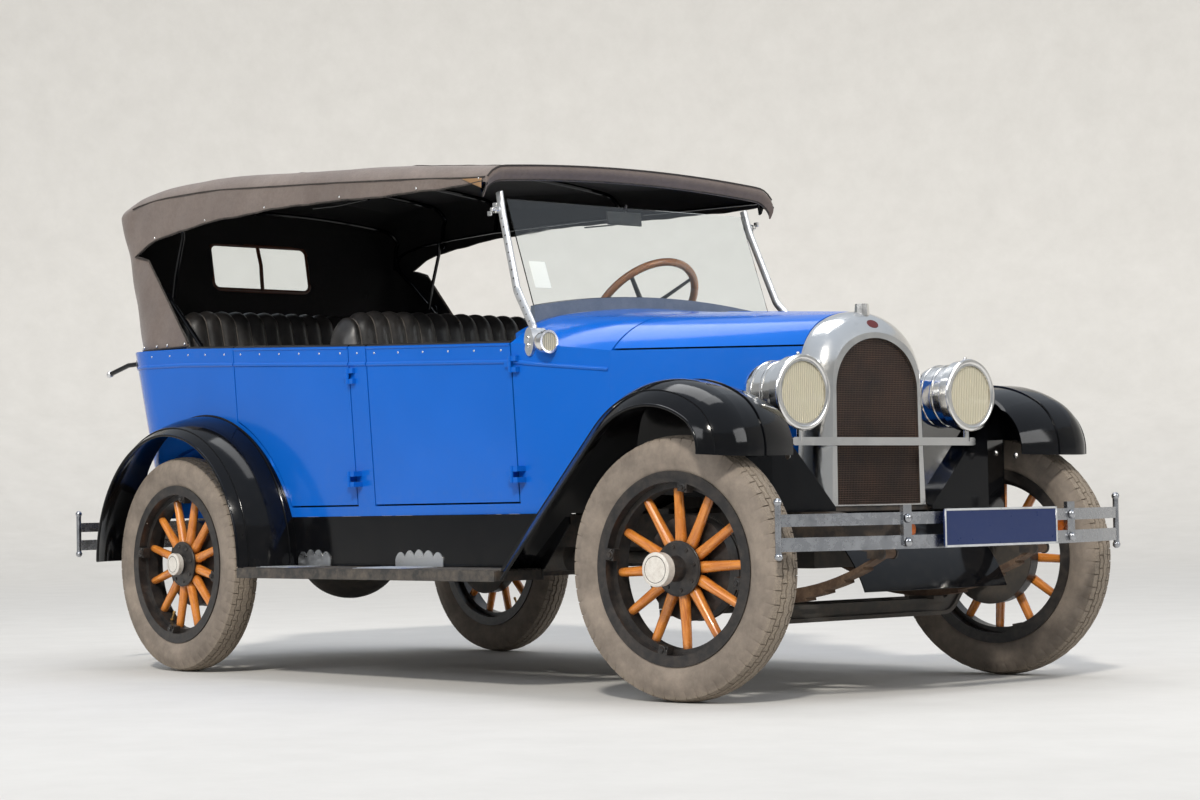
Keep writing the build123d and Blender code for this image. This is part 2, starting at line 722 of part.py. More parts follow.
iron_y = rail_out + iron_thick / 2
iron_end_x = bar_inner_x(iron_y + iron_thick / 2) - fit_gap
with BuildPart() as frame_part:
    for side in (1, -1):
        with BuildSketch(Plane.XZ.offset(-side * rail_y)):
            with BuildLine():
                top = Line((rail_rear_x, rail_high_z), (horn_bend_x, rail_high_z))
                fall = TangentArc(top @ 1, (horn_x - 35, horn_z + 22), tangent=(1, 0))
                Polyline(
                    fall @ 1, (horn_x - 35, horn_z + 3), (horn_bend_x, rail_low_z), (rail_rear_x, rail_low_z),
                    (rail_rear_x, rail_high_z),
                )
            make_face()
        extrude(amount=rail_width / 2, both=True)
        # Cheeks that hold the spring eyes: at the horn, under the rail behind it, and beside the rail at the rear
        for x, foot_z, head_z in (
            (front_axle_x + front_spring_half, horn_z, horn_z), (front_axle_x - front_spring_half, horn_z, rail_low_z + 20),
        ):
            for flank in (rail_out, rail_in - cheek):
                with BuildSketch(Plane.XZ.offset(-side * flank if side > 0 else flank + cheek)):
                    with Locations((x, foot_z)):
                        Circle(eye_ring + 3)
                    with Locations((x - 22, (foot_z + head_z) / 2)):
                        Rectangle(56, 2 * eye_ring + head_z - foot_z)
                extrude(amount=-cheek)
        for sign in (1, -1):
            with BuildSketch(Plane.XZ.offset(-side * rail_out)):
                with Locations((rear_axle_x + sign * rear_spring_half, rear_spring_eye_z)):
                    Circle(eye_ring)
            extrude(amount=-side * (rear_spring_y - spring_width / 2 - fit_gap - rail_out))
        for low_x, high_x in ((1690, iron_end_x), (-iron_end_x - length / 2 + bumper_reach, -1600)):
            with BuildSketch(Plane.XZ.offset(-side * iron_y)):
                with Locations(((low_x + high_x) / 2, iron_z)):
                    Rectangle(high_x - low_x, 36)
            extrude(amount=iron_thick / 2, both=True)
    for x, deep, high in cross_members:
        with BuildSketch(Plane.XZ):
            with Locations((x, rail_high_z - high / 2)):
                Rectangle(deep, high)
                Rectangle(deep - 12, high - 12, mode=Mode.SUBTRACT)
        extrude(amount=rail_in + 2, both=True)
    with BuildSketch(Plane.XY.offset(rail_high_z)):
        with Locations((1480, 0)):
            Rectangle(90, 440)
    extrude(amount=545 - fit_gap - rail_high_z)
    # Blocks that carry the body
    with BuildSketch(Plane.XY.offset(rail_high_z)):
        with GridLocations(0, 2 * rail_y, 1, 2):
            for x in (-1450, -800, -165, 640):
                with Locations((x, 0)):
                    Rectangle(80, rail_width)
    extrude(amount=sill_z - fit_gap - rail_high_z)
frame_part.part.label = "frame"
export_step(frame_part.part, "parts/frame.step")

# Engine and gearbox as one block, carried on two arms by the rails
engine_half = 130
with BuildPart() as power_unit:
    with BuildSketch(Plane.XZ):
        Polygon(
            (940, 360), (1380, 360), (1380, 930), (940, 930), (940, 640), (860, 600), (640, 520), (380, 500),
            (380, 400), (700, 380), align=None,
        )
    extrude(amount=engine_half, both=True)
    for x in (960, 1300):
        with BuildSketch(Plane.XY.offset(rail_high_z + fit_gap)):
            with Locations((x, 0)):
                Rectangle(50, 2 * rail_out)
        extrude(amount=16)
power_unit.part.label = "power_unit"
export_step(power_unit.part, "parts/power_unit.step")

# Leaf springs: leaves are arcs about one centre, each shorter than the one above it
spring_table = (                        # centre x, half span, eye z, sag, y
    (front_axle_x, front_spring_half, horn_z, spring_lift + 12, rail_y),
    (rear_axle_x, rear_spring_half, rear_spring_eye_z, rear_spring_sag, rear_spring_y),
)
with BuildPart() as springs:
    for x, half_span, eye_z, sag, spring_y in spring_table:
        bend = (half_span ** 2 + sag ** 2) / (2 * sag)
        for side in (1, -1):
            with BuildSketch(Plane.XZ.offset(-side * spring_y)):
                for k in range(leaves):
                    swing = degrees(asin(half_span * (1 - 0.17 * k) / bend))
                    with BuildLine():
                        CenterArc((x, eye_z - sag + bend), bend + k * leaf, -90 - swing, 2 * swing)
                    trace(line_width=leaf + 0.2)
                for sign in (1, -1):
                    with Locations((x + sign * half_span, eye_z)):
                        Circle(eye_ring)
            extrude(amount=spring_width / 2, both=True)
springs.part.label = "leaf_springs"
export_step(springs.part, "parts/leaf_springs.step")

# Front axle: a forged beam that drops between the kingpins
pack_low_z = horn_z - spring_lift - 12 - (leaves - 0.5) * leaf - 0.1
beam_high = 52
beam_z = pack_low_z - fit_gap - 8 - beam_high / 2
with BuildPart() as front_axle:
    beam_line = (
        (-kingpin_y, tyre_radius), (-kingpin_y + 70, tyre_radius - 6), (-kingpin_y + 190, beam_z), (kingpin_y - 190, beam_z),
        (kingpin_y - 70, tyre_radius - 6), (kingpin_y, tyre_radius),
    )
    with BuildSketch(Plane.YZ.offset(front_axle_x)):
        with BuildLine():
            FilletPolyline(*beam_line, radius=50)
        trace(line_width=beam_high)
    extrude(amount=24, both=True)
    for sign in (1, -1):
        with BuildSketch(Plane.YZ.offset(front_axle_x + sign * 12)):
            with BuildLine():
                FilletPolyline(*beam_line[1:-1], radius=50)
            trace(line_width=beam_high - 24)
        extrude(amount=sign * 20, mode=Mode.SUBTRACT)
    for side in (1, -1):
        with BuildSketch(Plane.XY.offset(beam_z + beam_high / 2 - 2)):
            with Locations((front_axle_x, side * rail_y)):
                Rectangle(100, spring_width)
        extrude(amount=10)
        with BuildSketch(Plane.XY.offset(tyre_radius - eye_half)):
            with Locations((front_axle_x, side * kingpin_y)):
                Circle(eye_radius)
        extrude(amount=2 * eye_half)
        with BuildSketch(Plane.XY.offset(tyre_radius - eye_half - 1)):
            with Locations((front_axle_x, side * kingpin_y)):
                Circle(kingpin_radius + pin_gap)
        extrude(amount=2 * eye_half + 2, mode=Mode.SUBTRACT)
front_axle.part.label = "front_axle"
export_step(front_axle.part, "parts/front_axle.step")

# Rear axle: casing, tubes, backing plates and spindles in one turned outline, with its torque tube
casing_radius = 147
tube_radius = 38
plate_y = track / 2 - drum_far - plate_clearance
pad_top_z = rear_spring_eye_z - rear_spring_sag - (leaves - 0.5) * leaf - 0.1 - fit_gap
with BuildPart() as rear_axle:
    with BuildSketch(Plane.YX.offset(-tyre_radius)):
        with BuildLine():
            casing = ThreePointArc(
                (-190, rear_axle_x + 52), (0, rear_axle_x + casing_radius), (190, rear_axle_x + 52)
            )
            Polyline(
                casing @ 1, (230, rear_axle_x + tube_radius), (plate_y - backing_plate, rear_axle_x + tube_radius),
                (plate_y - backing_plate, rear_axle_x + drum_radius + 2), (plate_y, rear_axle_x + drum_radius + 2),
                (plate_y, rear_axle_x + spindle_radius), (track / 2 + 36, rear_axle_x + spindle_radius),
                (track / 2 + 36, rear_axle_x), (-track / 2 - 36, rear_axle_x),
                (-track / 2 - 36, rear_axle_x + spindle_radius), (-plate_y, rear_axle_x + spindle_radius),
                (-plate_y, rear_axle_x + drum_radius + 2), (-plate_y + backing_plate, rear_axle_x + drum_radius + 2),
                (-plate_y + backing_plate, rear_axle_x + tube_radius), (-230, rear_axle_x + tube_radius), casing @ 0,
            )
        make_face()
    revolve(axis=Axis((rear_axle_x, 0, tyre_radius), (0, 1, 0)))
    for side in (1, -1):
        with BuildSketch(Plane.XY.offset(tyre_radius)):
            with Locations((rear_axle_x, side * rear_spring_y)):
                Rectangle(90, spring_width + 6)
        extrude(amount=pad_top_z - tyre_radius)
    torque_end = Vector(376, 0, 450)
    torque_start = Vector(rear_axle_x + 100, 0, tyre_radius)
    torque = torque_end - torque_start
    with BuildSketch(Plane(origin=torque_start, x_dir=(0, 1, 0), z_dir=torque)):
        Circle(36)
    extrude(amount=torque.length)
rear_axle.part.label = "rear_axle"
export_step(rear_axle.part, "parts/rear_axle.step")

# Exhaust down the right side of the gearbox, with its silencer
exhaust_y = -220
exhaust_z = 395
with BuildPart() as exhaust:
    with BuildLine() as exhaust_line:
        FilletPolyline(
            (1010, -engine_half - fit_gap, 620), (1010, exhaust_y, 620), (1010, exhaust_y, exhaust_z),
            (-900, exhaust_y, exhaust_z), radius=44,
        )
    with BuildSketch(Plane(origin=exhaust_line.line @ 0, z_dir=(0, -1, 0))):
        Circle(20)
    sweep(path=exhaust_line.line)
    with BuildSketch(Plane.YZ.offset(-120)):
        with Locations((exhaust_y, exhaust_z)):
            Circle(58)
    extrude(amount=520)
exhaust.part.label = "exhaust"
export_step(exhaust.part, "parts/exhaust.step")

# Fuel tank between the rails behind the axle
with BuildPart() as fuel_tank:
    with BuildSketch(Plane.XZ):
        with Locations((-1560, 456)):
            Ellipse(76, 68)
    extrude(amount=rail_in - fit_gap, both=True)
fuel_tank.part.label = "fuel_tank"
export_step(fuel_tank.part, "parts/fuel_tank.step")

# Floor inside the tub, toe board and bulkhead inside the cowl
with BuildPart() as cowl_inside:
    loft(arched_faces(cowl_sections, cowl_wall + fit_gap))
with BuildPart() as bulkhead:
    with BuildSketch(Plane.XZ):
        Polygon(
            (door_front_x, sill_z), (door_front_x, sill_z + floor_sheet), (toe_front_x, toe_high_z),
            (toe_front_x, 1200), (toe_front_x + 12, 1200), (toe_front_x + 12, toe_high_z - 14),
            (door_front_x + 14, sill_z), align=None,
        )
    extrude(amount=700, both=True)
    add(cowl_inside.part, mode=Mode.INTERSECT)
    with BuildSketch(Plane(origin=column_foot, x_dir=(0, 1, 0), z_dir=column_dir)):
        Circle(column_radius + 4)
    extrude(amount=400, mode=Mode.SUBTRACT)
with BuildPart() as cabin_floor:
    extrude(tub_sketch(sill_z, sill_half, cowl_half_sill, tub_rear_sill_x, wall + fit_gap).sketch, amount=floor_sheet, dir=(0, 0, 1))
    add(bulkhead.part)
cabin_floor.part.label = "floor_and_bulkhead"
export_step(cabin_floor.part, "parts/floor_and_bulkhead.step")

# Clear blocks just outside the tub and the cowl, for pieces that are fitted against them
with BuildPart() as tub_clear:
    loft([tub_sketch(*row, -fit_gap).sketch.face() for row in tub_heights], ruled=True)
with BuildPart() as cowl_clear:
    loft(arched_faces(cowl_sections, -fit_gap))

with BuildPart() as door_hinges:
    for side in (1, -1):
        for rear in (False, True):
            add(hinge_form(side, rear, True).part)
    add(tub_clear.part, mode=Mode.SUBTRACT)
    add(cowl_clear.part, mode=Mode.SUBTRACT)
door_hinges.part.label = "door_hinges"
export_step(door_hinges.part, "parts/door_hinges.step")

# Dashboard under the scuttle
with BuildPart() as dashboard:
    extrude(arched_sketch(cowl_sections[0], cowl_wall + fit_gap).sketch, amount=-26, dir=(1, 0, 0))
    with BuildSketch(Plane.YZ.offset(door_front_x - 24)):
        with Locations((0, 1100)):
            Rectangle(2 * (cowl_half_belt - wall - 16), 200)
    extrude(amount=-12, mode=Mode.INTERSECT)
dashboard.part.label = "dashboard"
export_step(dashboard.part, "parts/dashboard.step")

# Front wings: one section carried up a straight slope, over the crest and round the nose
wing_inner_y = 500
wing_inner_drop = 35
wing_lip_drop = 75
nose_sweep = 65
side_wall_y = 595
slope = radians(crest_climb)
climb_dir = Vector(cos(slope), 0, sin(slope))
crest_centre = Vector(front_axle_x, 0, crest_centre_z)
nose_centre = crest_centre + Vector(cos(radians(nose_turn)), 0, sin(radians(nose_turn))) * (crest_radius - nose_radius)
climb_top = crest_centre + Vector(-sin(slope), 0, cos(slope)) * crest_radius
climb_length = (climb_top.Z - board_top_z + 20) / sin(slope)
catwalk = Plane(origin=(cowl_front_x, 530, 610), x_dir=(1, 0, 0.4672), z_dir=(-0.4672, -1.0279, 1))
catwalk_front_x = 1490
catwalk_front = Plane(origin=(catwalk_front_x, 398, 750.5), x_dir=(1, 0, -0.254), z_dir=(0.254, -1.0279, 1))
panel_x = 1548.5
panel_foot_z = rail_high_z + 1


def section_plane(centre, radius, angle):
    """Plane across a wing, radius out from a centre at an angle from +X, its normal pointing forward."""
    out = Vector(cos(radians(angle)), 0, sin(radians(angle)))
    return Plane(origin=centre + out * radius, x_dir=(0, 1, 0), z_dir=Vector(out.Z, 0, -out.X))


def front_wing_section(plane, above):
    """The wing's sheet, or the space above it up to a height."""
    with BuildSketch(plane) as section:
        with BuildLine():
            inner = TangentArc((crest_y, 0), (wing_inner_y, -wing_inner_drop), tangent=(-1, 0))
            outer = TangentArc((crest_y, 0), (wing_lip_y, -wing_lip_drop), tangent=(1, 0))
            if above:
                Polyline(
                    inner @ 1, (200, -wing_inner_drop), (200, above), (wing_lip_y, above), outer @ 1
                )
        if above:
            make_face()
        else:
            trace(line_width=wing_sheet)
    return section


def front_wing_run(above):
    climb = Plane(origin=climb_top - climb_dir * climb_length, x_dir=(0, 1, 0), z_dir=climb_dir)
    with BuildPart() as run:
        extrude(front_wing_section(climb, above).sketch, amount=climb_length, dir=climb_dir)
        revolve(
            front_wing_section(section_plane(crest_centre, crest_radius, 90 + crest_climb), above).sketch,
            axis=Axis(crest_centre, (0, 1, 0)), revolution_arc=90 + crest_climb - nose_turn,
        )
        revolve(
            front_wing_section(section_plane(nose_centre, nose_radius, nose_turn), above).sketch,
            axis=Axis(nose_centre, (0, 1, 0)), revolution_arc=nose_sweep,
        )
    return run


with BuildPart() as front_skin:
    add(front_wing_run(0).part)
    for plane in (catwalk, catwalk_front):
        with BuildSketch(plane):
            Rectangle(3000, 3000, align=(Align.MIN, Align.CENTER))
        extrude(amount=900, mode=Mode.SUBTRACT)
    with BuildSketch(Plane.XZ):
        with Locations((700, 438)):
            Rectangle(400, 200)
    extrude(amount=-board_inner_y - fit_gap, mode=Mode.SUBTRACT)
    with BuildSketch(Plane.XY.offset(board_top_z + fit_gap)):
        with Locations((700, 700)):
            Rectangle(400, 600)
    extrude(amount=-200, mode=Mode.SUBTRACT)
    add(cowl_clear.part, mode=Mode.SUBTRACT)
with BuildPart() as front_panels:
    with BuildSketch(catwalk):
        Rectangle(3000, 3000)
    extrude(amount=-wing_sheet)
    with BuildSketch(Plane.XY):
        with Locations((catwalk_front_x, 0)):
            Rectangle(800, 3000, align=(Align.MIN, Align.CENTER))
    extrude(amount=2000, mode=Mode.SUBTRACT)
    with BuildSketch(catwalk_front):
        Rectangle(800, 3000, align=(Align.MIN, Align.CENTER))
    extrude(amount=-wing_sheet)
    with BuildSketch(Plane.XY):
        Polygon(
            (cowl_front_x + 2, 531), (radiator_back_x - 1, 241), (radiator_back_x - 1, 252), (1500, 238), (1530, 211),
            (panel_x, 211), (panel_x, 800), (cowl_front_x + 2, 800), align=None,
        )
    extrude(amount=1200, mode=Mode.INTERSECT)
    with BuildSketch(Plane.XY.offset(panel_foot_z)):
        with BuildLine():
            Polyline((panel_x, 211), (panel_x, 470), (1508, 590), (1508, side_wall_y))
        trace(line_width=wing_sheet)
    extrude(amount=400)
    with BuildSketch(Plane.XZ.offset(-side_wall_y)):
        with BuildLine():
            Polyline(
                (1506, panel_foot_z), (1506, 742), (1560, 740), (1600, 728), (1700, 740), (1700, 960), (1492, 960),
                (1492, panel_foot_z), close=True,
            )
        make_face()
    extrude(amount=-wing_sheet)
    for plane in (catwalk, catwalk_front):
        with BuildSketch(plane):
            Rectangle(3000, 3000, align=(Align.MIN, Align.CENTER))
        extrude(amount=900, mode=Mode.SUBTRACT)
    add(front_wing_run(500).part, mode=Mode.SUBTRACT)
with BuildPart() as front_wings:
    add(front_skin.part)
    add(front_panels.part)
    mirror(about=Plane.XZ)
front_wings.part.label = "front_wings"
export_step(front_wings.part, "parts/front_wings.step")

# Rear wings: half a turn about the wheel, ending on the running board
rear_wing_flat_y = 645
arc_centre = Vector(wing_centre[0], 0, wing_centre[1])
with BuildPart() as rear_wings:
    with BuildSketch(section_plane(arc_centre, 0, 179)):
        with BuildLine():
            flat = Line((600, rear_wing_radius), (rear_wing_flat_y, rear_wing_radius))
            TangentArc(flat @ 1, (wing_lip_y, rear_wing_lip_radius), tangent=(1, 0))
        trace(line_width=wing_sheet)
    revolve(axis=Axis(arc_centre, (0, 1, 0)), revolution_arc=180)
    with BuildSketch(Plane.XY):
        with Locations((wing_centre[0], 0)):
            Rectangle(1200, 2 * board_inner_y)
    extrude(amount=sill_z, mode=Mode.SUBTRACT)
    add(tub_clear.part, mode=Mode.SUBTRACT)
    mirror(about=Plane.XZ)
rear_wings.part.label = "rear_wings"
export_step(rear_wings.part, "parts/rear_wings.step")

# Running boards on brackets from the rails
board_mid_y = (board_inner_y + wing_lip_y) / 2
with BuildPart() as boards:
    with BuildSketch(Plane.XY.offset(board_top_z - board_thick)):
        for side in (1, -1):
            with Locations(((board_front_x + board_rear_x) / 2, side * board_mid_y)):
                RectangleRounded(board_front_x - board_rear_x, wing_lip_y - board_inner_y, 12)
    extrude(amount=board_thick)
    for x in (-540, 50, 620):
        with BuildSketch(Plane.YZ.offset(x)):
            with BuildLine():
                Polyline((board_inner_y + 4, 352), (rail_y, 352), (rail_y, rail_low_z - fit_gap))
            trace(line_width=12)
            with Locations((rail_y, rail_low_z)):
                Rectangle(60, 20 * fit_gap, align=(Align.CENTER, Align.MIN), mode=Mode.SUBTRACT)
            mirror(about=Plane.YZ)
        extrude(amount=18, both=True)
boards.part.label = "running_boards"
export_step(boards.part, "parts/running_boards.step")

# Splash aprons between boards and body, and the front apron between the horns
apron_sheet = 4
with BuildPart() as aprons:
    for side in (1, -1):
        with BuildSketch(Plane.XZ.offset(-side * (board_inner_y - apron_sheet))):
            Polygon(
                (-640, board_top_z + fit_gap), (board_front_x, board_top_z + fit_gap), (855, 505),
                (855, sill_z - fit_gap), (-640, sill_z - fit_gap), align=None,
            )
            with Locations(wing_centre):
                Circle(rear_wing_radius + wing_sheet / 2 + fit_gap, mode=Mode.SUBTRACT)
        extrude(amount=-side * apron_sheet)
    with BuildSketch(Plane.XZ):
        with BuildLine():
            ThreePointArc((1517.5, 526), (1655, 440), (1750, 300))
        trace(line_width=apron_sheet)
    extrude(amount=rail_in - fit_gap, both=True)
aprons.part.label = "splash_aprons"
export_step(aprons.part, "parts/splash_aprons.step")

# Aluminium tread plates on the boards and kick plates above them
plate_thick = 3
with BuildPart() as step_plates:
    for side in (1, -1):
        for low_x, high_x in ((-555, -370), (-10, 240)):
            with BuildSketch(Plane.XY.offset(board_top_z + fit_gap)):
                with Locations(((low_x + high_x) / 2, side * (board_mid_y + 4))):
                    RectangleRounded(high_x - low_x, wing_lip_y - board_inner_y - 44, 10)
            extrude(amount=plate_thick)
            with BuildSketch(Plane.XZ.offset(-side * (board_inner_y + fit_gap))):
                with Locations(((low_x + high_x) / 2, 398)):
                    RectangleRounded(high_x - low_x, 46, 10)
            extrude(amount=-side * plate_thick)
step_plates.part.label = "step_plates"
export_step(step_plates.part, "parts/step_plates.step")

# Headlamps on their cross bar, and the small lamps on the cowl
lamp_y = 365
lamp_z = 876
lamp_front_x = 1580
lamp_rim = 108
lamp_drum = 95
bar_x = panel_x + wing_sheet / 2 + fit_gap + 7
bar_z = 735
cowl_lamp = (741, 622, 1062)
with BuildPart() as lamp_form:
    with BuildSketch(Plane.XZ):
        with BuildLine():
            dome = TangentArc((1455, lamp_drum), (1385, 30), tangent=(-1, 0))
            Polyline(dome @ 1, (1385, 0), (1430, 0), (1430, 30))
            ThreePointArc((1430, 30), (1475, 74), (1548, lamp_rim - 18))
            Polyline(
                (1548, lamp_rim - 18), (lamp_front_x, lamp_rim - 18), (lamp_front_x, lamp_rim - 6),
                (lamp_front_x - 6, lamp_rim), (1545, lamp_rim), (1545, lamp_drum), (1455, lamp_drum),
            )
        make_face()
    revolve(axis=Axis.X)
with BuildPart() as headlamps:
    with BuildSketch(Plane.YZ.offset(bar_x - 7)):
        with Locations((0, bar_z)):
            RectangleRounded(2 * 398, 24, 8)
    extrude(amount=14)
    for side in (1, -1):
        with BuildSketch(Plane.XY.offset(bar_z)):
            with Locations((bar_x, side * lamp_y)):
                Circle(9)
        extrude(amount=lamp_z - lamp_rim + 4 - bar_z)
    for side in (1, -1):
        with Locations((0, side * lamp_y, lamp_z)):
            add(lamp_form.part)
headlamps.part.label = "headlamps"
export_step(headlamps.part, "parts/headlamps.step")
with BuildPart() as cowl_lamps:
    for side in (1, -1):
        small_plane = Plane(origin=(cowl_lamp[0], side * cowl_lamp[1], cowl_lamp[2]), x_dir=(1, 0, 0), z_dir=(0, -1, 0))
        with BuildSketch(small_plane):
            with BuildLine():
                back = ThreePointArc((-44, 0), (-30, 26), (0, 33))
                Polyline(back @ 1, (4, 36), (14, 36), (14, 29), (4, 29), (4, 0), (-44, 0))
            make_face()
        revolve(axis=Axis(small_plane.origin, (1, 0, 0)))
        with BuildSketch(Plane.XZ.offset(-side * cowl_lamp[1])):
            with Locations((cowl_lamp[0] - 10, cowl_lamp[2] - 8)):
                Circle(9)
        extrude(amount=side * 60)
    add(cowl_clear.part, mode=Mode.SUBTRACT)
cowl_lamps.part.label = "cowl_lamps"
export_step(cowl_lamps.part, "parts/cowl_lamps.step")
with BuildPart() as lamp_glass:
    for side in (1, -1):
        with BuildSketch(Plane.YZ.offset(1570)):
            with Locations((side * lamp_y, lamp_z)):
                Circle(lamp_rim - 18 - fit_gap)
        extrude(amount=5)
        with BuildSketch(Plane.YZ.offset(cowl_lamp[0] + 7)):
            with Locations((side * cowl_lamp[1], cowl_lamp[2])):
                Circle(29 - fit_gap)
        extrude(amount=4)
lamp_glass.part.label = "lamp_glasses"
export_step(lamp_glass.part, "parts/lamp_glasses.step")

# Windscreen: two stanchions from the cowl, a rubber strip on the scuttle and one pane between them
stanchion = ((672, 606, 1050), (654, 600, 1112), (545, 572, 1236), (447, 545, 1483), (427, 540, 1556))
pane_thick = 5
pane_half = 519
pane_foot = Vector(545, 0, 1232)
pane_corner_drop = 45
strip_x = 556
pane_dir = Vector(427 - 545, 0, 1556 - 1232).normalized()
with BuildPart() as windscreen_frame:
    with BuildLine() as post_line:
        FilletPolyline(*stanchion, radius=40)
    with BuildSketch(Plane(origin=post_line.line @ 0, x_dir=(1, 0, 0), z_dir=post_line.line % 0)):
        Ellipse(15, 9)
    sweep(path=post_line.line)
    with BuildSketch(Plane.XZ.offset(-632)):
        with Locations((668, 1066)):
            Ellipse(22, 44)
    extrude(amount=60)
    with BuildSketch(Plane.XZ.offset(-562)):
        with Locations((437, 1499)):
            Circle(12)
    extrude(amount=24)
    add(cowl_clear.part, mode=Mode.SUBTRACT)
    mirror(about=Plane.XZ)
    with BuildPart() as strip:
        with BuildSketch(Plane.YZ.offset(strip_x - 10)):
            with BuildLine():
                brow = ThreePointArc((-pane_half, 1188.4), (0, 1230.8), (pane_half, 1188.4))
                Polyline(brow @ 1, (pane_half, 1100), (-pane_half, 1100), brow @ 0)
            make_face()
        extrude(amount=20)
        extrude(arched_sketch(cowl_sections[0], -fit_gap).sketch, amount=-100, dir=(1, 0, 0), mode=Mode.SUBTRACT)
    add(strip.part)
windscreen_frame.part.label = "windscreen_frame"
export_step(windscreen_frame.part, "parts/windscreen_frame.step")

# Windscreen pane
with BuildPart() as pane:
    with BuildSketch(Plane(origin=pane_foot, x_dir=(0, 1, 0), z_dir=Vector(0, 1, 0).cross(pane_dir))):
        with BuildLine():
            brow = ThreePointArc((-pane_half, -pane_corner_drop), (0, 0), (pane_half, -pane_corner_drop))
            Polyline(brow @ 1, (pane_half, 322), (-pane_half, 322), brow @ 0)
        make_face()
    extrude(amount=pane_thick / 2, both=True)
pane.part.label = "windscreen_glass"
export_step(pane.part, "parts/windscreen_glass.step")

# Bumpers: two curved bars, end rods and clamps on the irons
with BuildPart() as bumpers:
    for end, reach in ((1, bumper_reach), (-1, length / 2)):
        bend = bumper_radius - bar_thick / 2
        centre_x = end * (reach - bumper_radius)
        swing = degrees(asin(bumper_half / bend))
        middle = 0 if end > 0 else 180
        for low_z, high_z in bumper_bars:
            with BuildSketch(Plane.XY.offset(low_z)):
                with BuildLine():
                    CenterArc((centre_x, 0), bend, middle - swing, 2 * swing)
                trace(line_width=bar_thick)
            extrude(amount=high_z - low_z)
        for side in (1, -1):
            end_x = centre_x + end * sqrt(bend ** 2 - bumper_half ** 2)
            with BuildSketch(Plane.XY.offset(412)):
                with Locations((end_x, side * bumper_half)):
                    Circle(9)
            extrude(amount=148)
            with Locations((end_x, side * bumper_half, 560), (end_x, side * bumper_half, 412)):
                Sphere(12)
            clamp_x = centre_x + end * sqrt(bend ** 2 - clamp_y ** 2)
            with BuildSketch(Plane.XY.offset(435)):
                with Locations((clamp_x + end * 2, side * clamp_y)):
                    Rectangle(bar_thick + 4, 34)
            extrude(amount=112)
bumpers.part.label = "bumpers"
export_step(bumpers.part, "parts/bumpers.step")

# Signal lamps beside the irons, amber in front and red behind
with BuildPart() as signal_lamps:
    for side in (1, -1):
        for low_x, high_x in ((1898, 1942), (-1930, -1880)):
            with BuildSketch(Plane.YZ.offset(low_x)):
                with Locations((side * (rail_out - 27), iron_z)):
                    Circle(25)
            extrude(amount=high_x - low_x)
            with BuildSketch(Plane.YZ.offset(low_x + 10)):
                with Locations((side * (rail_out - 10), iron_z)):
                    Rectangle(19, 20)
            extrude(amount=20)
signal_lamps.part.label = "signal_lamps"
export_step(signal_lamps.part, "parts/signal_lamps.step")

plate_thickness = 5.5
with BuildPart() as number_plate:
    with BuildSketch(Plane.YZ.offset(length / 2 - plate_thickness)):
        with Locations((0, 480)):
            RectangleRounded(490, 108, 10)
    extrude(amount=plate_thickness)
number_plate.part.label = "number_plate"
export_step(number_plate.part, "parts/number_plate.step")

# Seats: a base, a thick cushion and a leaning back, side profile carried across the car
seat_half = 572
seat_table = (      # label, cushion rear and front x, back's foot and head (x, z)
    ("front_seat", -300, 190, (-335, 760), (-420, 1170)),
    ("rear_seat", -1310, -830, (-1345, 760), (-1452, 1230)),
)
for label, rear_x, near_x, back_foot, back_head in seat_table:
    with BuildPart() as seat:
        with BuildSketch(Plane.XZ):
            with Locations(((rear_x + near_x) / 2, 630)):
                Rectangle(near_x - rear_x - 40, 2 * (630 - sill_z - floor_sheet - fit_gap))
            with Locations(((rear_x + near_x) / 2, 765)):
                RectangleRounded(near_x - rear_x, 140, 50)
            with BuildLine():
                Line(back_foot, back_head)
            trace(line_width=110)
            with Locations(back_head):
                Circle(55)
        extrude(amount=seat_half, both=True)
    seat.part.label = label
    export_step(seat.part, f"parts/{label}.step")

# Folding top: arched sections lofted along the car, cut by the side view
# Columns: x, crown z, crown arc's end (y, z), joint with the side (y, z), foot (y, z)
top_foot = (660, belt_rear_z + fit_gap)
top_sections = (
    (462, 1655, (560, 1634), (canopy_half, 1592), top_foot),
    (122, 1712, (560, 1672), (canopy_half, 1622), top_foot),
    (-375, 1752, (560, 1710), (canopy_half, 1658), top_foot),
    (-1057, 1796, (560, 1756), (canopy_half, 1702), top_foot),
    (-1433, 1796, (560, 1756), (canopy_half, 1704), top_foot),
    (-1647, 1764, (560, 1728), (canopy_half, 1680), top_foot),
    (-1790, 1700, (560, 1672), (canopy_half, 1630), top_foot),
)
rear_curtain = ((-1768, 1800), (-1747, 1675), (-1692, 1514), (-1662, 1150))


def top_volume(inset):
    with BuildPart() as volume:
        loft(arched_faces(top_sections, inset), ruled=True)
        with BuildSketch(Plane.XZ):
            Polygon(*[(x + inset, z) for x, z in rear_curtain], (500, 1150), (500, 1800), align=None)
        extrude(amount=800, both=True, mode=Mode.INTERSECT)
    return volume


with BuildPart() as folding_top:
    add(top_volume(0).part)
    add(top_volume(canvas).part, mode=Mode.SUBTRACT)
    # Front valance closes the arch ahead of the windscreen
    with BuildSketch(Plane.XZ):
        Polygon(
            (-1192, 1140), (-1140, 1545), (-1080, 1561), (-498, 1571), (72, 1564), (500, 1567), (500, 1100), align=None
        )
    extrude(amount=800, both=True, mode=Mode.SUBTRACT)
    with BuildSketch(Plane.YZ.offset(-1600)):
        with Locations((0, 1500)):
            RectangleRounded(450, 178, 30)
    extrude(amount=-200, mode=Mode.SUBTRACT)
folding_top.part.label = "folding_top"
export_step(folding_top.part, "parts/folding_top.step")

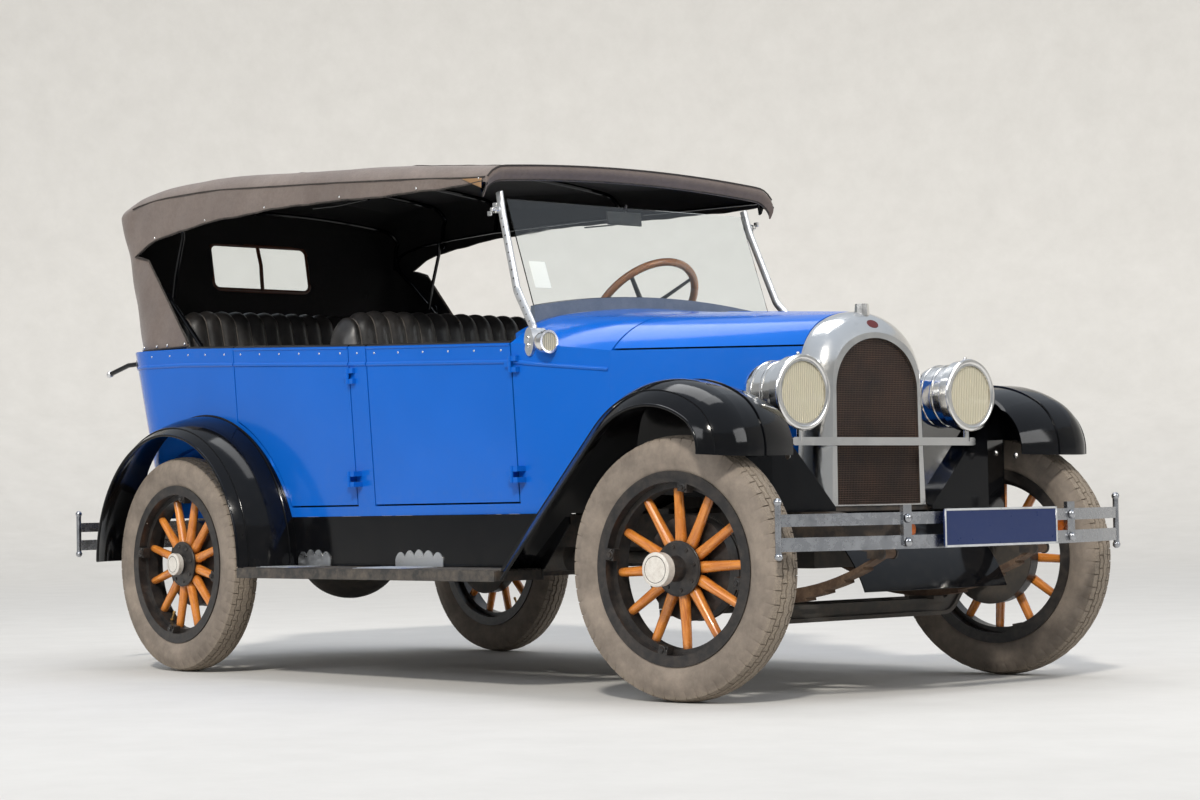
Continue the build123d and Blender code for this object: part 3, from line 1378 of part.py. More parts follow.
# Irons of the top: bows under the canvas, side irons and their pivots on the tub
bow_depth = 24
iron_half = 604
with BuildPart() as top_irons:
    add(top_volume(canvas + fit_gap).part)
    add(top_volume(canvas + bow_depth).part, mode=Mode.SUBTRACT)
    with BuildSketch(Plane.XZ):
        for x, wide in ((436, 48), (-300, 36), (-1000, 36), (-1500, 36)):
            with Locations((x, 1680)):
                Rectangle(wide, 216)
    extrude(amount=800, both=True, mode=Mode.INTERSECT)
    for side in (1, -1):
        with BuildSketch(Plane.XZ.offset(-side * iron_half)):
            with BuildLine():
                Polyline((-300, 1590), (-900, 1545), (-1188, 1120), (-1500, 1590))
            trace(line_width=22)
            with BuildLine():
                Line((-1188, 1120), (-1000, 1590))
            trace(line_width=18)
            with BuildLine():
                Line((-300, 1590), (436, 1585))
            trace(line_width=18)
        extrude(amount=-side * 8)
        with BuildSketch(Plane.XZ.offset(-side * iron_half)):
            with Locations((-1188, 1118)):
                Circle(16)
        extrude(amount=-side * 31.5)
top_irons.part.label = "top_irons"
export_step(top_irons.part, "parts/top_irons.step")

# Spare tyre on its rim, carried behind the tub by a plate from the rear cross member
spare_x = -1795
spare_z = 810
spare_frame = Plane(origin=(spare_x, 0, spare_z), x_dir=(0, 0, 1), z_dir=(-1, 0, 0))
with BuildPart(spare_frame) as spare_tyre:
    add(tyre_form.part)
spare_tyre.part.label = "spare_tyre"
export_step(spare_tyre.part, "parts/spare_tyre.step")
with BuildPart() as spare_carrier:
    with BuildSketch(spare_frame.offset(-half_rim)):
        Circle(flange_radius)
        Circle(rim_radius - rim_sheet, mode=Mode.SUBTRACT)
    extrude(amount=2 * half_rim)
    with BuildSketch(spare_frame.offset(-half_rim + rim_sheet)):
        Circle(flange_radius + 1)
        Circle(rim_radius, mode=Mode.SUBTRACT)
    extrude(amount=2 * (half_rim - rim_sheet), mode=Mode.SUBTRACT)
    with BuildSketch(spare_frame.offset(-half_rim)):
        Circle(rim_radius)
        Circle(200, mode=Mode.SUBTRACT)
    extrude(amount=-8)
    with BuildSketch(Plane.XZ):
        Polygon(
            (rail_rear_x + 10 - fit_gap, 474), (rail_rear_x + 10 - fit_gap, 524), (-1712, 620),
            (spare_x + half_rim + 8, 1040), (spare_x + half_rim, 1040), (spare_x + half_rim, 600),
            (rail_rear_x - 12, 474), align=None,
        )
    extrude(amount=34, both=True)
spare_carrier.part.label = "spare_rim_and_carrier"
export_step(spare_carrier.part, "parts/spare_rim_and_carrier.step")
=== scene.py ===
from cmath import phase, rect
from collections import defaultdict
from itertools import product
from math import atan2, cos, hypot, pi, radians, sin, sqrt

import bmesh
import bpy
import numpy as np
from mathutils import Matrix, Vector


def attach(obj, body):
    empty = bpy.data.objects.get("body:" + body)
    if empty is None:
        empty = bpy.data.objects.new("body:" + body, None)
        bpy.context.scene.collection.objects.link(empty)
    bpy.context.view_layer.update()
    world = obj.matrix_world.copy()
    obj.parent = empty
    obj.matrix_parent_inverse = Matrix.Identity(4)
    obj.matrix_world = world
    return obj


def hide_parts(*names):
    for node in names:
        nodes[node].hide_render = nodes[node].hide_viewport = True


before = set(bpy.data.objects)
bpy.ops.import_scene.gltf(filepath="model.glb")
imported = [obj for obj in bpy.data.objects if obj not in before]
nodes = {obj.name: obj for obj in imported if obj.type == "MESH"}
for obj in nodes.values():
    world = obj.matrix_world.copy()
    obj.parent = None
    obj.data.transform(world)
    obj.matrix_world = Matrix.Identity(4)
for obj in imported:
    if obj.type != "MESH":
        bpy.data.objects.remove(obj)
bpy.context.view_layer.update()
scene = bpy.context.scene
MM = 0.001               # the forms below are in millimetres, the scene is in metres


# Materials
def tint(color, share, more=0.0):
    return tuple(min(1, c * share + more) for c in color)


class Nodes:
    """A node tree with short helpers. Inputs are numbers, colours or other nodes' outputs."""

    def __init__(self, tree):
        self.tree = tree

    def feed(self, socket, value):
        if isinstance(value, bpy.types.NodeSocket):
            self.tree.links.new(value, socket)
        else:
            socket.default_value = (*value, 1) if socket.type == "RGBA" else value

    def node(self, kind, inputs, output=0, **props):
        n = self.tree.nodes.new("ShaderNode" + kind)
        for key, value in props.items():
            setattr(n, key, value)
        for key, value in inputs.items():
            self.feed(n.inputs[key], value)
        return n.outputs[output] if n.outputs else n

    def ramp(self, fac, *stops):
        """stops: (place, grey or colour) pairs."""
        n = self.tree.nodes.new("ShaderNodeValToRGB")
        elements = n.color_ramp.elements
        while len(elements) < len(stops):
            elements.new(0.5)
        for e, (place, c) in zip(elements, stops):
            e.position = place
            e.color = (*c, 1) if isinstance(c, tuple) else (c, c, c, 1)
        self.feed(n.inputs["Fac"], fac)
        return n.outputs["Color"]

    def fade(self, fac, start, end, low=0.0, high=1.0):
        return self.ramp(fac, (start, low), (end, high))

    def math(self, operation, *values):
        return self.node("Math", dict(enumerate(values)), operation=operation)


class Graph(Nodes):
    """A principled material whose patterns follow the object's own coordinates."""

    def __init__(self, name, color, **sockets):
        self.m = bpy.data.materials.new(name)
        self.m.use_nodes = True
        self.m.diffuse_color = (*color, 1)
        super().__init__(self.m.node_tree)
        self.place = self.node("TexCoord", {}, "Object")
        self.set(Base_Color=color, **sockets)

    def set(self, **sockets):
        """Sets the shader's sockets and returns the material."""
        for key, value in sockets.items():
            self.feed(self.tree.nodes["Principled BSDF"].inputs[key.replace("_", " ")], value)
        return self.m

    def texture(self, kind, scale, output, stretch=(1, 1, 1), inputs=(), **props):
        vector = self.node("Mapping", {"Scale": stretch, "Vector": self.place})
        return self.node("Tex" + kind, {"Scale": scale, "Vector": vector, **dict(inputs)}, output, **props)

    def noise(self, scale, detail=4.0, rough=0.6, stretch=(1, 1, 1)):
        return self.texture("Noise", scale, "Fac", stretch, {"Detail": detail, "Roughness": rough})

    def wave(self, scale, direction="X"):
        return self.texture("Wave", scale, "Fac", bands_direction=direction)

    def axis(self, name):
        return self.node("SeparateXYZ", {0: self.place}, name)

    def radius(self):
        """Distance from the object's own z axis."""
        x, y = (self.math("POWER", self.axis(name), 2.0) for name in "XY")
        return self.math("SQRT", self.math("ADD", x, y))

    def mix(self, fac, a, b):
        return self.node("Mix", {0: fac, 6: a, 7: b}, 2, data_type="RGBA")

    def bump(self, height, strength, distance, under=None):
        inputs = {"Strength": strength, "Distance": distance, "Height": height}
        if under:
            inputs["Normal"] = under
        return self.node("Bump", inputs, "Normal")


def paint(name, color, dust, rough=0.2, coat=0.5, spec=0.5):
    """Enamel with uneven gloss and road dust towards the ground."""
    g = Graph(name, color, Coat_Weight=coat, Coat_Roughness=0.04, Specular_IOR_Level=spec)
    base = g.mix(g.fade(g.noise(1.6, 3), 0.3, 0.7), color, tint(color, 1.12, 0.002))
    near_ground = g.fade(g.axis("Z"), 0.3, 0.75, 0.22, 0.03)
    grit = g.math("MULTIPLY", g.fade(g.noise(26, 6, 0.7), 0.5, 0.75), near_ground)
    return g.set(Base_Color=g.mix(grit, base, dust),
                 Roughness=g.fade(g.noise(34, 5, 0.65), 0.3, 0.75, rough * 0.7, rough * 1.5),
                 Normal=g.bump(g.noise(420, 2), 0.05, 0.0004, g.bump(g.noise(7, 2), 0.12, 0.004)))


def metal(name, color, rough=0.16, streak=0.0, dirt=0.25):
    g = Graph(name, color, Metallic=1.0)
    spots = g.fade(g.noise(38, 7, 0.7), 0.56, 0.75, 0.0, dirt)
    polish = g.noise(24, 6, 0.7, (1, 1, 1 + streak))
    return g.set(Base_Color=g.mix(spots, color, tint(color, 0.45)),
                 Roughness=g.fade(polish, 0.3, 0.8, rough * 0.7, min(1, rough * 2.2)),
                 Normal=g.bump(g.noise(90, 3), 0.06, 0.0006))


def dusty(name, color, dust, rough=0.6, amount=0.6, metallic=0.0, scale=18):
    """A dull surface under patches of dust or rust."""
    g = Graph(name, color, Metallic=metallic)
    patches = g.fade(g.noise(scale, 8, 0.7), 0.42, 0.72, 0.0, amount)
    fine = g.noise(scale * 14, 3, 0.6)
    base = g.mix(g.fade(fine, 0.3, 0.7, 0.0, 0.5), color, tint(color, 1.5, 0.004))
    return g.set(Base_Color=g.mix(patches, base, dust),
                 Roughness=g.fade(fine, 0.2, 0.8, rough * 0.8, min(1, rough * 1.25)),
                 Normal=g.bump(fine, 0.25, 0.0006, g.bump(g.noise(scale * 2, 4), 0.2, 0.002)))


def wood(name, dark, light, rough=0.28, coat=0.6, along=(60, 60, 3)):
    g = Graph(name, light, Coat_Weight=coat, Coat_Roughness=0.06)
    streak = g.noise(1.0, 6, 0.65, along)
    blotch = g.noise(9, 4)
    body = g.mix(g.fade(streak, 0.32, 0.7), dark, light)
    return g.set(Base_Color=g.mix(g.fade(blotch, 0.45, 0.8, 0.0, 0.45), body, tint(dark, 0.4)),
                 Roughness=g.fade(blotch, 0.3, 0.8, rough * 0.8, rough * 1.7),
                 Normal=g.bump(streak, 0.2, 0.0006))


def cloth(name, color, faded, weave=900, sheen=0.25):
    g = Graph(name, color, Roughness=0.9, Sheen_Weight=sheen, Sheen_Roughness=0.6,
              Specular_IOR_Level=0.25)
    base = g.mix(g.fade(g.noise(2.2, 6, 0.7), 0.3, 0.75), color, faded)
    specks = g.fade(g.noise(60, 5, 0.7), 0.35, 0.8, 0.0, 0.5)
    x, z, y = (g.wave(weave, direction) for direction in "XZY")
    thread = g.math("MAXIMUM", g.math("MAXIMUM", x, z), y)
    return g.set(Base_Color=g.mix(specks, base, tint(color, 0.62)),
                 Normal=g.bump(thread, 0.25, 0.0005, g.bump(g.noise(11, 5), 0.35, 0.004)))


def leather(name, color, rough=0.36):
    g = Graph(name, color, Coat_Weight=0.12, Coat_Roughness=0.3)
    grain = g.texture("Voronoi", 520, "Distance")
    wear = g.fade(g.noise(14, 6, 0.7), 0.45, 0.8, 0.0, 0.35)
    return g.set(Base_Color=g.mix(wear, color, (0.075, 0.065, 0.058)),
                 Roughness=g.fade(g.noise(40, 5), 0.3, 0.8, rough * 0.75, rough * 1.5),
                 Normal=g.bump(grain, 0.22, 0.0005, g.bump(g.noise(30, 4), 0.25, 0.0015)))


def glass(name, color, rough, flutes=0.0, transmission=1.0):
    g = Graph(name, color, Transmission_Weight=transmission, IOR=1.45)
    g.set(Roughness=g.fade(g.noise(14, 5), 0.4, 0.8, rough, rough + 0.06))
    if not flutes:
        return g.set(Normal=g.bump(g.noise(3, 2), 0.03, 0.002))
    lines = g.wave(flutes, "Y")
    return g.set(Base_Color=g.mix(lines, color, tint(color, 0.72)), Normal=g.bump(lines, 0.8, 0.002))


def tyre_rubber():
    """Dust gathers on the tread; the radius counts from the axle."""
    g = Graph("tyre_dusty_rubber", (0.075, 0.066, 0.056), Roughness=0.86, Specular_IOR_Level=0.3)
    tread = g.fade(g.math("MULTIPLY", g.math("SUBTRACT", g.radius(), 0.345), 28.0), 0.25, 0.85)
    fine = g.noise(240, 5, 0.7)
    wall = g.mix(g.fade(g.noise(9, 6, 0.7), 0.35, 0.7), (0.165, 0.138, 0.115), (0.29, 0.242, 0.198))
    crown = g.mix(g.fade(fine, 0.35, 0.7), (0.17, 0.14, 0.11), (0.34, 0.285, 0.225))
    return g.set(Base_Color=g.mix(tread, wall, crown),
                 Normal=g.bump(fine, 0.35, 0.0008, g.bump(g.noise(60, 4), 0.2, 0.001)))


def honeycomb():
    g = Graph("radiator_honeycomb", (0.03, 0.02, 0.015), Metallic=0.5, Roughness=0.5)
    plane = g.node("CombineXYZ", {0: g.axis("Y"), 1: g.axis("Z")})
    cells = g.node("TexVoronoi", {"Scale": 150, "Randomness": 0.12, "Vector": plane}, "Distance",
                   feature="DISTANCE_TO_EDGE")
    # painted shade: the cells' insides are near-black as shade in the holes; the walls between them take the
    # mud colour
    wall = g.fade(cells, 0.05, 0.16, 1.0, 0.0)
    mud = g.mix(g.fade(g.noise(8, 5, 0.7), 0.35, 0.7), (0.075, 0.05, 0.038), (0.16, 0.085, 0.055))
    return g.set(Base_Color=g.mix(wall, (0.004, 0.003, 0.003), mud), Normal=g.bump(wall, 0.8, 0.003))


def spoke_wood():
    """Grain that runs along each spoke; both ends are painted darker, as shade where the spokes meet the hub
    and the felloe.
    """
    g = Graph("spoke_varnished_wood_radial", (0.7, 0.25, 0.045), Coat_Weight=0.7, Coat_Roughness=0.05)
    r = g.radius()
    outwards = {k: g.math("MULTIPLY", g.math("DIVIDE", g.axis(name), g.math("ADD", r, 0.02)), 13.0)
                for k, name in enumerate("XY")}
    vector = g.node("CombineXYZ", {**outwards, 2: g.math("MULTIPLY", g.axis("Z"), 55.0)})
    grain = g.node("TexNoise", {"Scale": 1.3, "Detail": 7, "Roughness": 0.62, "Vector": vector}, "Fac")
    blotch = g.noise(13, 5, 0.7)
    warm = g.mix(g.fade(grain, 0.3, 0.68), (0.40, 0.105, 0.012), (0.80, 0.30, 0.05))
    aged = g.mix(g.fade(blotch, 0.42, 0.72, 0.0, 0.5), warm, (0.52, 0.17, 0.03))
    # painted shade: the wood darkens towards the hub and the felloe, where the parts meet
    ends = g.fade(g.math("ABSOLUTE", g.math("SUBTRACT", r, 0.150)), 0.062, 0.085, 0.0, 0.75)
    return g.set(Base_Color=g.mix(ends, aged, (0.10, 0.03, 0.008)),
                 Roughness=g.fade(blotch, 0.3, 0.8, 0.18, 0.38), Normal=g.bump(grain, 0.22, 0.0006))


def edge_binding():
    g = Graph("canvas_edge_binding", (0.03, 0.024, 0.021), Roughness=0.85)
    worn = g.mix(g.fade(g.noise(60, 5, 0.7), 0.35, 0.75), (0.02, 0.016, 0.014), (0.085, 0.07, 0.06))
    return g.set(Base_Color=worn, Normal=g.bump(g.wave(420), 0.3, 0.0006))


def pale_floor():
    g = Graph("studio_floor", (0.62, 0.60, 0.57), Roughness=0.85, Specular_IOR_Level=0.2)
    patches = g.mix(g.fade(g.noise(3, 8, 0.7), 0.3, 0.7), (0.60, 0.585, 0.56), (0.65, 0.635, 0.61))
    return g.set(Base_Color=patches, Normal=g.bump(g.noise(90, 5), 0.15, 0.002))


BLUE = paint("body_blue_paint", (0.0028, 0.115, 0.53), (0.10, 0.17, 0.34), 0.16, 0.22, 0.25)
BLACK = paint("black_wing_enamel", (0.002, 0.0022, 0.003), (0.045, 0.038, 0.032), 0.1, 0.1, 0.22)
NAVY = paint("plate_navy", (0.010, 0.022, 0.085), (0.06, 0.07, 0.12), 0.35, 0.1, 0.3)
WHITE = paint("paper_pale", (0.72, 0.74, 0.68), (0.5, 0.48, 0.42), 0.7, 0.0)
CHASSIS = dusty("chassis_black_dusty", (0.018, 0.016, 0.015), (0.15, 0.105, 0.07), 0.55, 0.55)
RUST = dusty("spring_steel_rusty", (0.075, 0.045, 0.03), (0.24, 0.16, 0.10), 0.75, 0.7, 0.3, 26)
IRON = dusty("cast_iron_grimy", (0.06, 0.056, 0.052), (0.15, 0.12, 0.09), 0.7, 0.5, 0.4)
WHEEL_BLACK = dusty("wheel_black_worn", (0.014, 0.013, 0.013), (0.10, 0.08, 0.065), 0.34, 0.42, 0.0, 30)
ENAMEL = dusty("hub_cap_pale_enamel", (0.62, 0.59, 0.54), (0.30, 0.24, 0.19), 0.3, 0.35, 0.0, 40)
MAT = dusty("board_rubber_mat", (0.03, 0.029, 0.028), (0.17, 0.14, 0.11), 0.8, 0.7)
STRIP = dusty("scuttle_rubber_strip", (0.10, 0.125, 0.16), (0.22, 0.24, 0.27), 0.6, 0.4)
NICKEL = metal("nickel_plate", (0.80, 0.79, 0.77), 0.13, 0.0, 0.18)
# a darker copy of the nickel for the bumpers and their bolts: the darkness is a painted reflection of dark
# surroundings
BUMPER_NICKEL_DARKENED = metal("bumper_nickel_painted_dark_reflection", (0.40, 0.41, 0.43), 0.2, 0.0, 0.3)
ALU = metal("aluminium_satin", (0.74, 0.75, 0.76), 0.3, 2.0, 0.25)
BRASS = metal("old_brass", (0.55, 0.36, 0.14), 0.35, 0.0, 0.4)
SPOKE = spoke_wood()
RIM_WOOD = wood("steering_rim_wood", (0.34, 0.10, 0.02), (0.66, 0.26, 0.07), 0.22, 0.7, (9, 9, 9))
FLOOR_WOOD = wood("floor_boards", (0.035, 0.026, 0.02), (0.075, 0.055, 0.04), 0.7, 0.0, (3, 50, 50))
WINDOW_WOOD = wood("window_moulding_dark_wood", (0.06, 0.018, 0.008), (0.15, 0.045, 0.02), 0.35, 0.3,
                   (9, 9, 9))
CANVAS = cloth("top_canvas_taupe", (0.115, 0.085, 0.072), (0.205, 0.16, 0.135))
LINING = cloth("top_lining_dark", (0.012, 0.011, 0.011), (0.022, 0.02, 0.02), 700, 0.05)
BINDING = edge_binding()
LEATHER = leather("seat_leather_black", (0.014, 0.013, 0.013))
# pale cords on the seat seams: a painted highlight of the raised pleat edges
SEAM_HIGHLIGHT_CORD = leather("seat_piping_painted_highlight", (0.16, 0.14, 0.125), 0.4)
TRIM = leather("cabin_trim_black", (0.012, 0.0115, 0.0115), 0.5)
PATCH = leather("tan_patch_leather", (0.30, 0.17, 0.075))
TYRE = tyre_rubber()
CORE = honeycomb()
GLASS = glass("windscreen_glass_clear", (0.93, 0.97, 0.97), 0.0)
LENS = glass("lamp_lens_fluted", (1.0, 0.93, 0.72), 0.12, 40, 0.45)
AMBER = glass("signal_amber", (1.0, 0.22, 0.01), 0.15, 90, 0.45)
RED = glass("signal_red", (0.75, 0.02, 0.02), 0.15, 90, 0.45)
RED_ENAMEL = Graph("badge_dark_enamel", (0.10, 0.012, 0.012), Roughness=0.25).m


# Mesh building
def unit(v):
    v = np.asarray(v, float)
    return v / np.linalg.norm(v)


def basis(axis, up):
    """Two unit vectors square to the axis, and the axis."""
    z = unit(axis)
    up = np.asarray(up, float)
    if abs(np.dot(up, z)) > 0.95:
        up = np.array((1.0, 0, 0)) if abs(z[0]) < 0.9 else np.array((0, 1.0, 0))
    x = unit(np.cross(up, z))
    return x, np.cross(z, x), z


def circle(seg):
    """Cosines and sines of the places round a circle."""
    t = np.arange(seg) * 2 * pi / seg
    return np.cos(t), np.sin(t)


def ring_at(r, z, seg):
    c, s = circle(seg)
    return np.stack([c * r, s * r, np.full(seg, z)], 1)


def enter(ob, body="body", slot=None, replaces=None, matrix=None):
    """Puts an object in the scene and says what it belongs to."""
    scene.collection.objects.link(ob)
    if matrix is not None:
        ob.matrix_world = matrix
    if body:
        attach(ob, body)
    if replaces:
        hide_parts(replaces)
    return ob


def clean(me, weld=0.0):
    """Joins points nearer than weld, in metres, and turns the faces of each form outwards."""
    bm = bmesh.new()
    bm.from_mesh(me)
    if weld:
        bmesh.ops.remove_doubles(bm, verts=bm.verts, dist=weld)
    bmesh.ops.recalc_face_normals(bm, faces=bm.faces)
    bm.to_mesh(me)
    bm.free()


def smooth(me, angle):
    """Smooth shading with sharp edges over an angle in degrees."""
    me.shade_smooth()
    me.set_sharp_from_angle(angle=radians(angle))


def modifier(ob, kind, **props):
    m = ob.modifiers.new(kind.title(), kind)
    for key, value in props.items():
        setattr(m, key, value)


class Batch:
    """Collects many small forms, in millimetres, into one mesh."""

    def __init__(self):
        self.v, self.f, self.n = [], [], 0

    def put(self, verts, faces):
        verts = np.asarray(verts, float).reshape(-1, 3)
        self.v.append(verts)
        self.f += [[i + self.n for i in face] for face in faces]
        self.n += len(verts)
        return self

    def mirror(self):
        """Adds the same forms on the other side of the car."""
        return self.put(np.concatenate(self.v) * (1, -1, 1), self.f)

    def grid(self, points, wrap_u=False, wrap_v=False, ends=False, keep=lambda i, j: True):
        """Quads between rows of points. ends: the first and the last row are closed by a face."""
        p = np.asarray(points, float)
        a, b = p.shape[:2]
        faces = [[i * b + j, (i + 1) % a * b + j, (i + 1) % a * b + (j + 1) % b, i * b + (j + 1) % b]
                 for i in range(a if wrap_u else a - 1) for j in range(b if wrap_v else b - 1) if keep(i, j)]
        if ends:
            faces += [list(range(b))[::-1], list(range((a - 1) * b, a * b))]
        return self.put(p, faces)

    def lathe(self, profile, origin, axis, seg=24, ring=False):
        """profile: (radius, height) pairs. A ring's profile is closed on itself, others by flat ends."""
        x, y, z = basis(axis, (0, 0, 1))
        c, s = circle(seg)
        rows = [np.asarray(origin, float) + z * h + np.outer(c, x) * r + np.outer(s, y) * r
                for r, h in profile]
        return self.grid(rows, ring, True, not ring)

    def tube(self, pts, radius, seg=10, closed=False, section=(1, 1), up=(0, 0, 1)):
        """section: half sizes across the line and along up, for an oval tube with radius 1."""
        p = np.asarray(pts, float)
        n = len(p)
        ahead = [p[(i + 1) % n] - p[i - 1] if closed or 0 < i < n - 1 else
                 p[1] - p[0] if i == 0 else p[-1] - p[-2] for i in range(n)]
        c, s = circle(seg)
        a = basis(ahead[0], up)[0]
        rings = []
        for at, t, r in zip(p, map(unit, ahead), np.broadcast_to(radius, n)):
            a = unit(a - t * np.dot(a, t))
            rings.append(at + np.outer(c, a) * section[0] * r + np.outer(s, np.cross(t, a)) * section[1] * r)
        return self.grid(rings, closed, True, not closed)

    def block(self, centre, size, bevel=1.5, x=(1, 0, 0), y=(0, 1, 0)):
        """A box with chamfered edges, its own x and y directions given."""
        x = unit(x)
        z = unit(np.cross(x, y))
        axes = np.array((x, np.cross(z, x), z))
        half = np.asarray(size, float) / 2
        flat = half - min(bevel, *(half * 0.45))
        # each corner of the box, 0 to 7 by its signs, has a point on each of its three faces
        points = [centre + (np.where(np.arange(3) == k, half, flat) * corner) @ axes
                  for corner in product((-1, 1), repeat=3) for k in range(3)]
        faces = [[3 * c, 3 * c + 1, 3 * c + 2] for c in range(8)]
        for k, i, j in ((0, 1, 2), (1, 0, 2), (2, 0, 1)):
            far_k, far_i, far_j = 12 >> k, 12 >> i, 12 >> j
            faces += [[c + k, c + far_i + k, c + far_i + far_j + k, c + far_j + k] for c in (0, far_k)]
            faces += [[c + i, c + far_k + i, c + far_k + j, c + j] for c in (0, far_i, far_j, far_i + far_j)]
        return self.put(points, faces)

    def bolt(self, at, axis, r=7, h=5):
        """A hexagon head with a domed crown, on a washer."""
        self.lathe([(r * 1.35, 0), (r * 1.35, h * 0.22), (r * 1.2, h * 0.32)], at, axis, 20)
        return self.lathe([(r, h * 0.3), (r, h * 0.95), (r * 0.86, h * 1.15), (r * 0.4, h * 1.22)],
                          at, axis, 6)

    def rivet(self, at, axis, r=4, h=2.4):
        return self.lathe([(r, -0.4), (r * 0.96, h * 0.35), (r * 0.7, h * 0.75), (r * 0.3, h)], at, axis, 10)

    def build(self, name, material, slot=None, body="body", replaces=None, matrix=None, angle=38):
        me = bpy.data.meshes.new(name)
        me.from_pydata((np.concatenate(self.v) * MM).tolist(), [], self.f)
        me.validate()
        me.update()
        clean(me)
        me.materials.append(material)
        if angle:
            smooth(me, angle)
        return enter(bpy.data.objects.new(name, me), body, slot, replaces, matrix)


# Camera, solved from the photograph, in metres
PHOTO_WIDTH, FOCAL_PIXELS, SENSOR = 1200, 2711.26, 36
yaw, pitch, roll = radians(138.5587), radians(2.1614), radians(-1.0385)
look = Vector((cos(yaw) * cos(pitch), sin(yaw) * cos(pitch), sin(pitch)))
right = look.cross(Vector((0, 0, 1))).normalized()
upward = right.cross(look)
right, upward = right * cos(roll) + upward * sin(roll), upward * cos(roll) - right * sin(roll)
camera_data = bpy.data.cameras.new("camera")
camera_data.sensor_width = SENSOR
camera_data.lens = FOCAL_PIXELS / PHOTO_WIDTH * SENSOR
camera_data.clip_end = 200
camera = bpy.data.objects.new("camera", camera_data)
scene.collection.objects.link(camera)
pose = Matrix((right, upward, -look)).transposed().to_4x4()
pose.translation = (7.04225, -5.97155, 0.56913)
camera.matrix_world = pose
scene.camera = camera

# Floor that rises into a backdrop: radius and height in metres
FLOOR = ((0.01, 0), (3, 0), (9, 0), (14, 0), (17, 0.4), (19.5, 1.6), (21, 3.6), (21.6, 6.5), (21.6, 12))
floor = Batch().grid([ring_at(r, z, 96) / MM for r, z in FLOOR], wrap_v=True)
floor.build("studio_floor_and_backdrop", pale_floor(), body=None)

# Sky: a plain studio dome, warm below and cool above
world = scene.world or bpy.data.worlds.new("studio")
scene.world = world
world.use_nodes = True
world.node_tree.nodes.clear()
sky = Nodes(world.node_tree)
up_down = sky.node("SeparateXYZ", {0: sky.node("TexCoord", {}, "Generated")}, "Z")
dome = sky.ramp(sky.math("MULTIPLY_ADD", up_down, 0.5, 0.5), (0.0, (0.45, 0.43, 0.40)),
                (0.49, (0.52, 0.50, 0.47)), (0.52, (0.30, 0.31, 0.32)), (0.60, (0.62, 0.66, 0.70)),
                (1.0, (0.80, 0.88, 1.0)))
sky.node("OutputWorld", {"Surface": sky.node("Background", {"Color": dome, "Strength": 0.75})})


def lamp(name, energy, at, aim, color=(1, 1, 1), **props):
    """A sun where an angle is given, else an area lamp."""
    data = bpy.data.lights.new(name, "SUN" if "angle" in props else "AREA")
    data.energy, data.color = energy, color
    for key, value in props.items():
        setattr(data, key, value)
    ob = bpy.data.objects.new(name, data)
    scene.collection.objects.link(ob)
    ob.location = at
    ob.rotation_euler = (Vector(aim) - Vector(at)).to_track_quat("-Z", "Y").to_euler()


area = {"shape": "RECTANGLE"}
lamp("sun", 2.1, (6, -7, 7.5), (0.3, 0, 0.3), (1.0, 0.95, 0.87), angle=radians(5))
lamp("soft_left", 190, (1.5, -8.5, 4.5), (0, 0, 0.8), (0.97, 0.98, 1.0), **area, size=6, size_y=2.2)
lamp("soft_front", 130, (7.5, 2.5, 3.5), (1, 0, 0.8), **area, size=3.5, size_y=2.5)
lamp("top", 160, (-0.5, 0.5, 6.5), (-0.5, 0, 0), **area, size=5, size_y=3)


# Plane geometry
def arc3(a, b, c, n):
    """n + 1 points on the short arc from a through b to c."""
    a, b, c = complex(*a), complex(*b), complex(*c)
    w = (c - a) / (b - a)
    centre = a + (b - a) * (w - abs(w) ** 2) / (2j * w.imag)
    sweep = phase((c - centre) / (a - centre))
    points = [centre + (a - centre) * rect(1, sweep * k / n) for k in range(n + 1)]
    return [(p.real, p.imag) for p in points]


def tangent_arc(p0, p1, tangent, n):
    """n + 1 points on the arc that leaves p0 along the tangent and ends in p1."""
    p0, p1, t = np.array(p0, float), np.array(p1, float), unit(tangent)
    normal = np.array((-t[1], t[0]))
    d = p1 - p0
    k = np.dot(d, normal)
    if abs(k) < 1e-9:
        return [tuple(p0 + d * i / n) for i in range(n + 1)]
    r = np.dot(d, d) / (2 * k)
    c = p0 + normal * r
    a0, a1 = atan2(*(p0 - c)[::-1]), atan2(*(p1 - c)[::-1])
    sweep = (a1 - a0) % (2 * pi) if r > 0 else -((a0 - a1) % (2 * pi))
    turns = [a0 + sweep * i / n for i in range(n + 1)]
    return [(c[0] + abs(r) * cos(a), c[1] + abs(r) * sin(a)) for a in turns]


def resample(pts, step):
    """Points at even steps along a line."""
    p = np.asarray(pts, float)
    s = np.concatenate([[0], np.cumsum(np.linalg.norm(np.diff(p, axis=0), axis=1))])
    t = np.linspace(0, s[-1], max(2, int(round(s[-1] / step)) + 1))
    return np.stack([np.interp(t, s, column) for column in p.T], 1)


def follow(table, x):
    """The value of a table of (place, value) pairs at a place."""
    return float(np.interp(x, *zip(*table)))


def plane_matrix(origin, x, z):
    """Object matrix from its own x and z directions and its origin in millimetres."""
    x, z = unit(x), unit(z)
    m = Matrix((x, np.cross(z, x), z)).transposed().to_4x4()
    m.translation = Vector(origin) * MM
    return m


SIDES = ((1, "left"), (-1, "right"))
AHEAD, BEHIND, UP, OUT = (1, 0, 0), (-1, 0, 0), (0, 0, 1), (0, 1, 0)
CENTRE = (0, 0, 0)

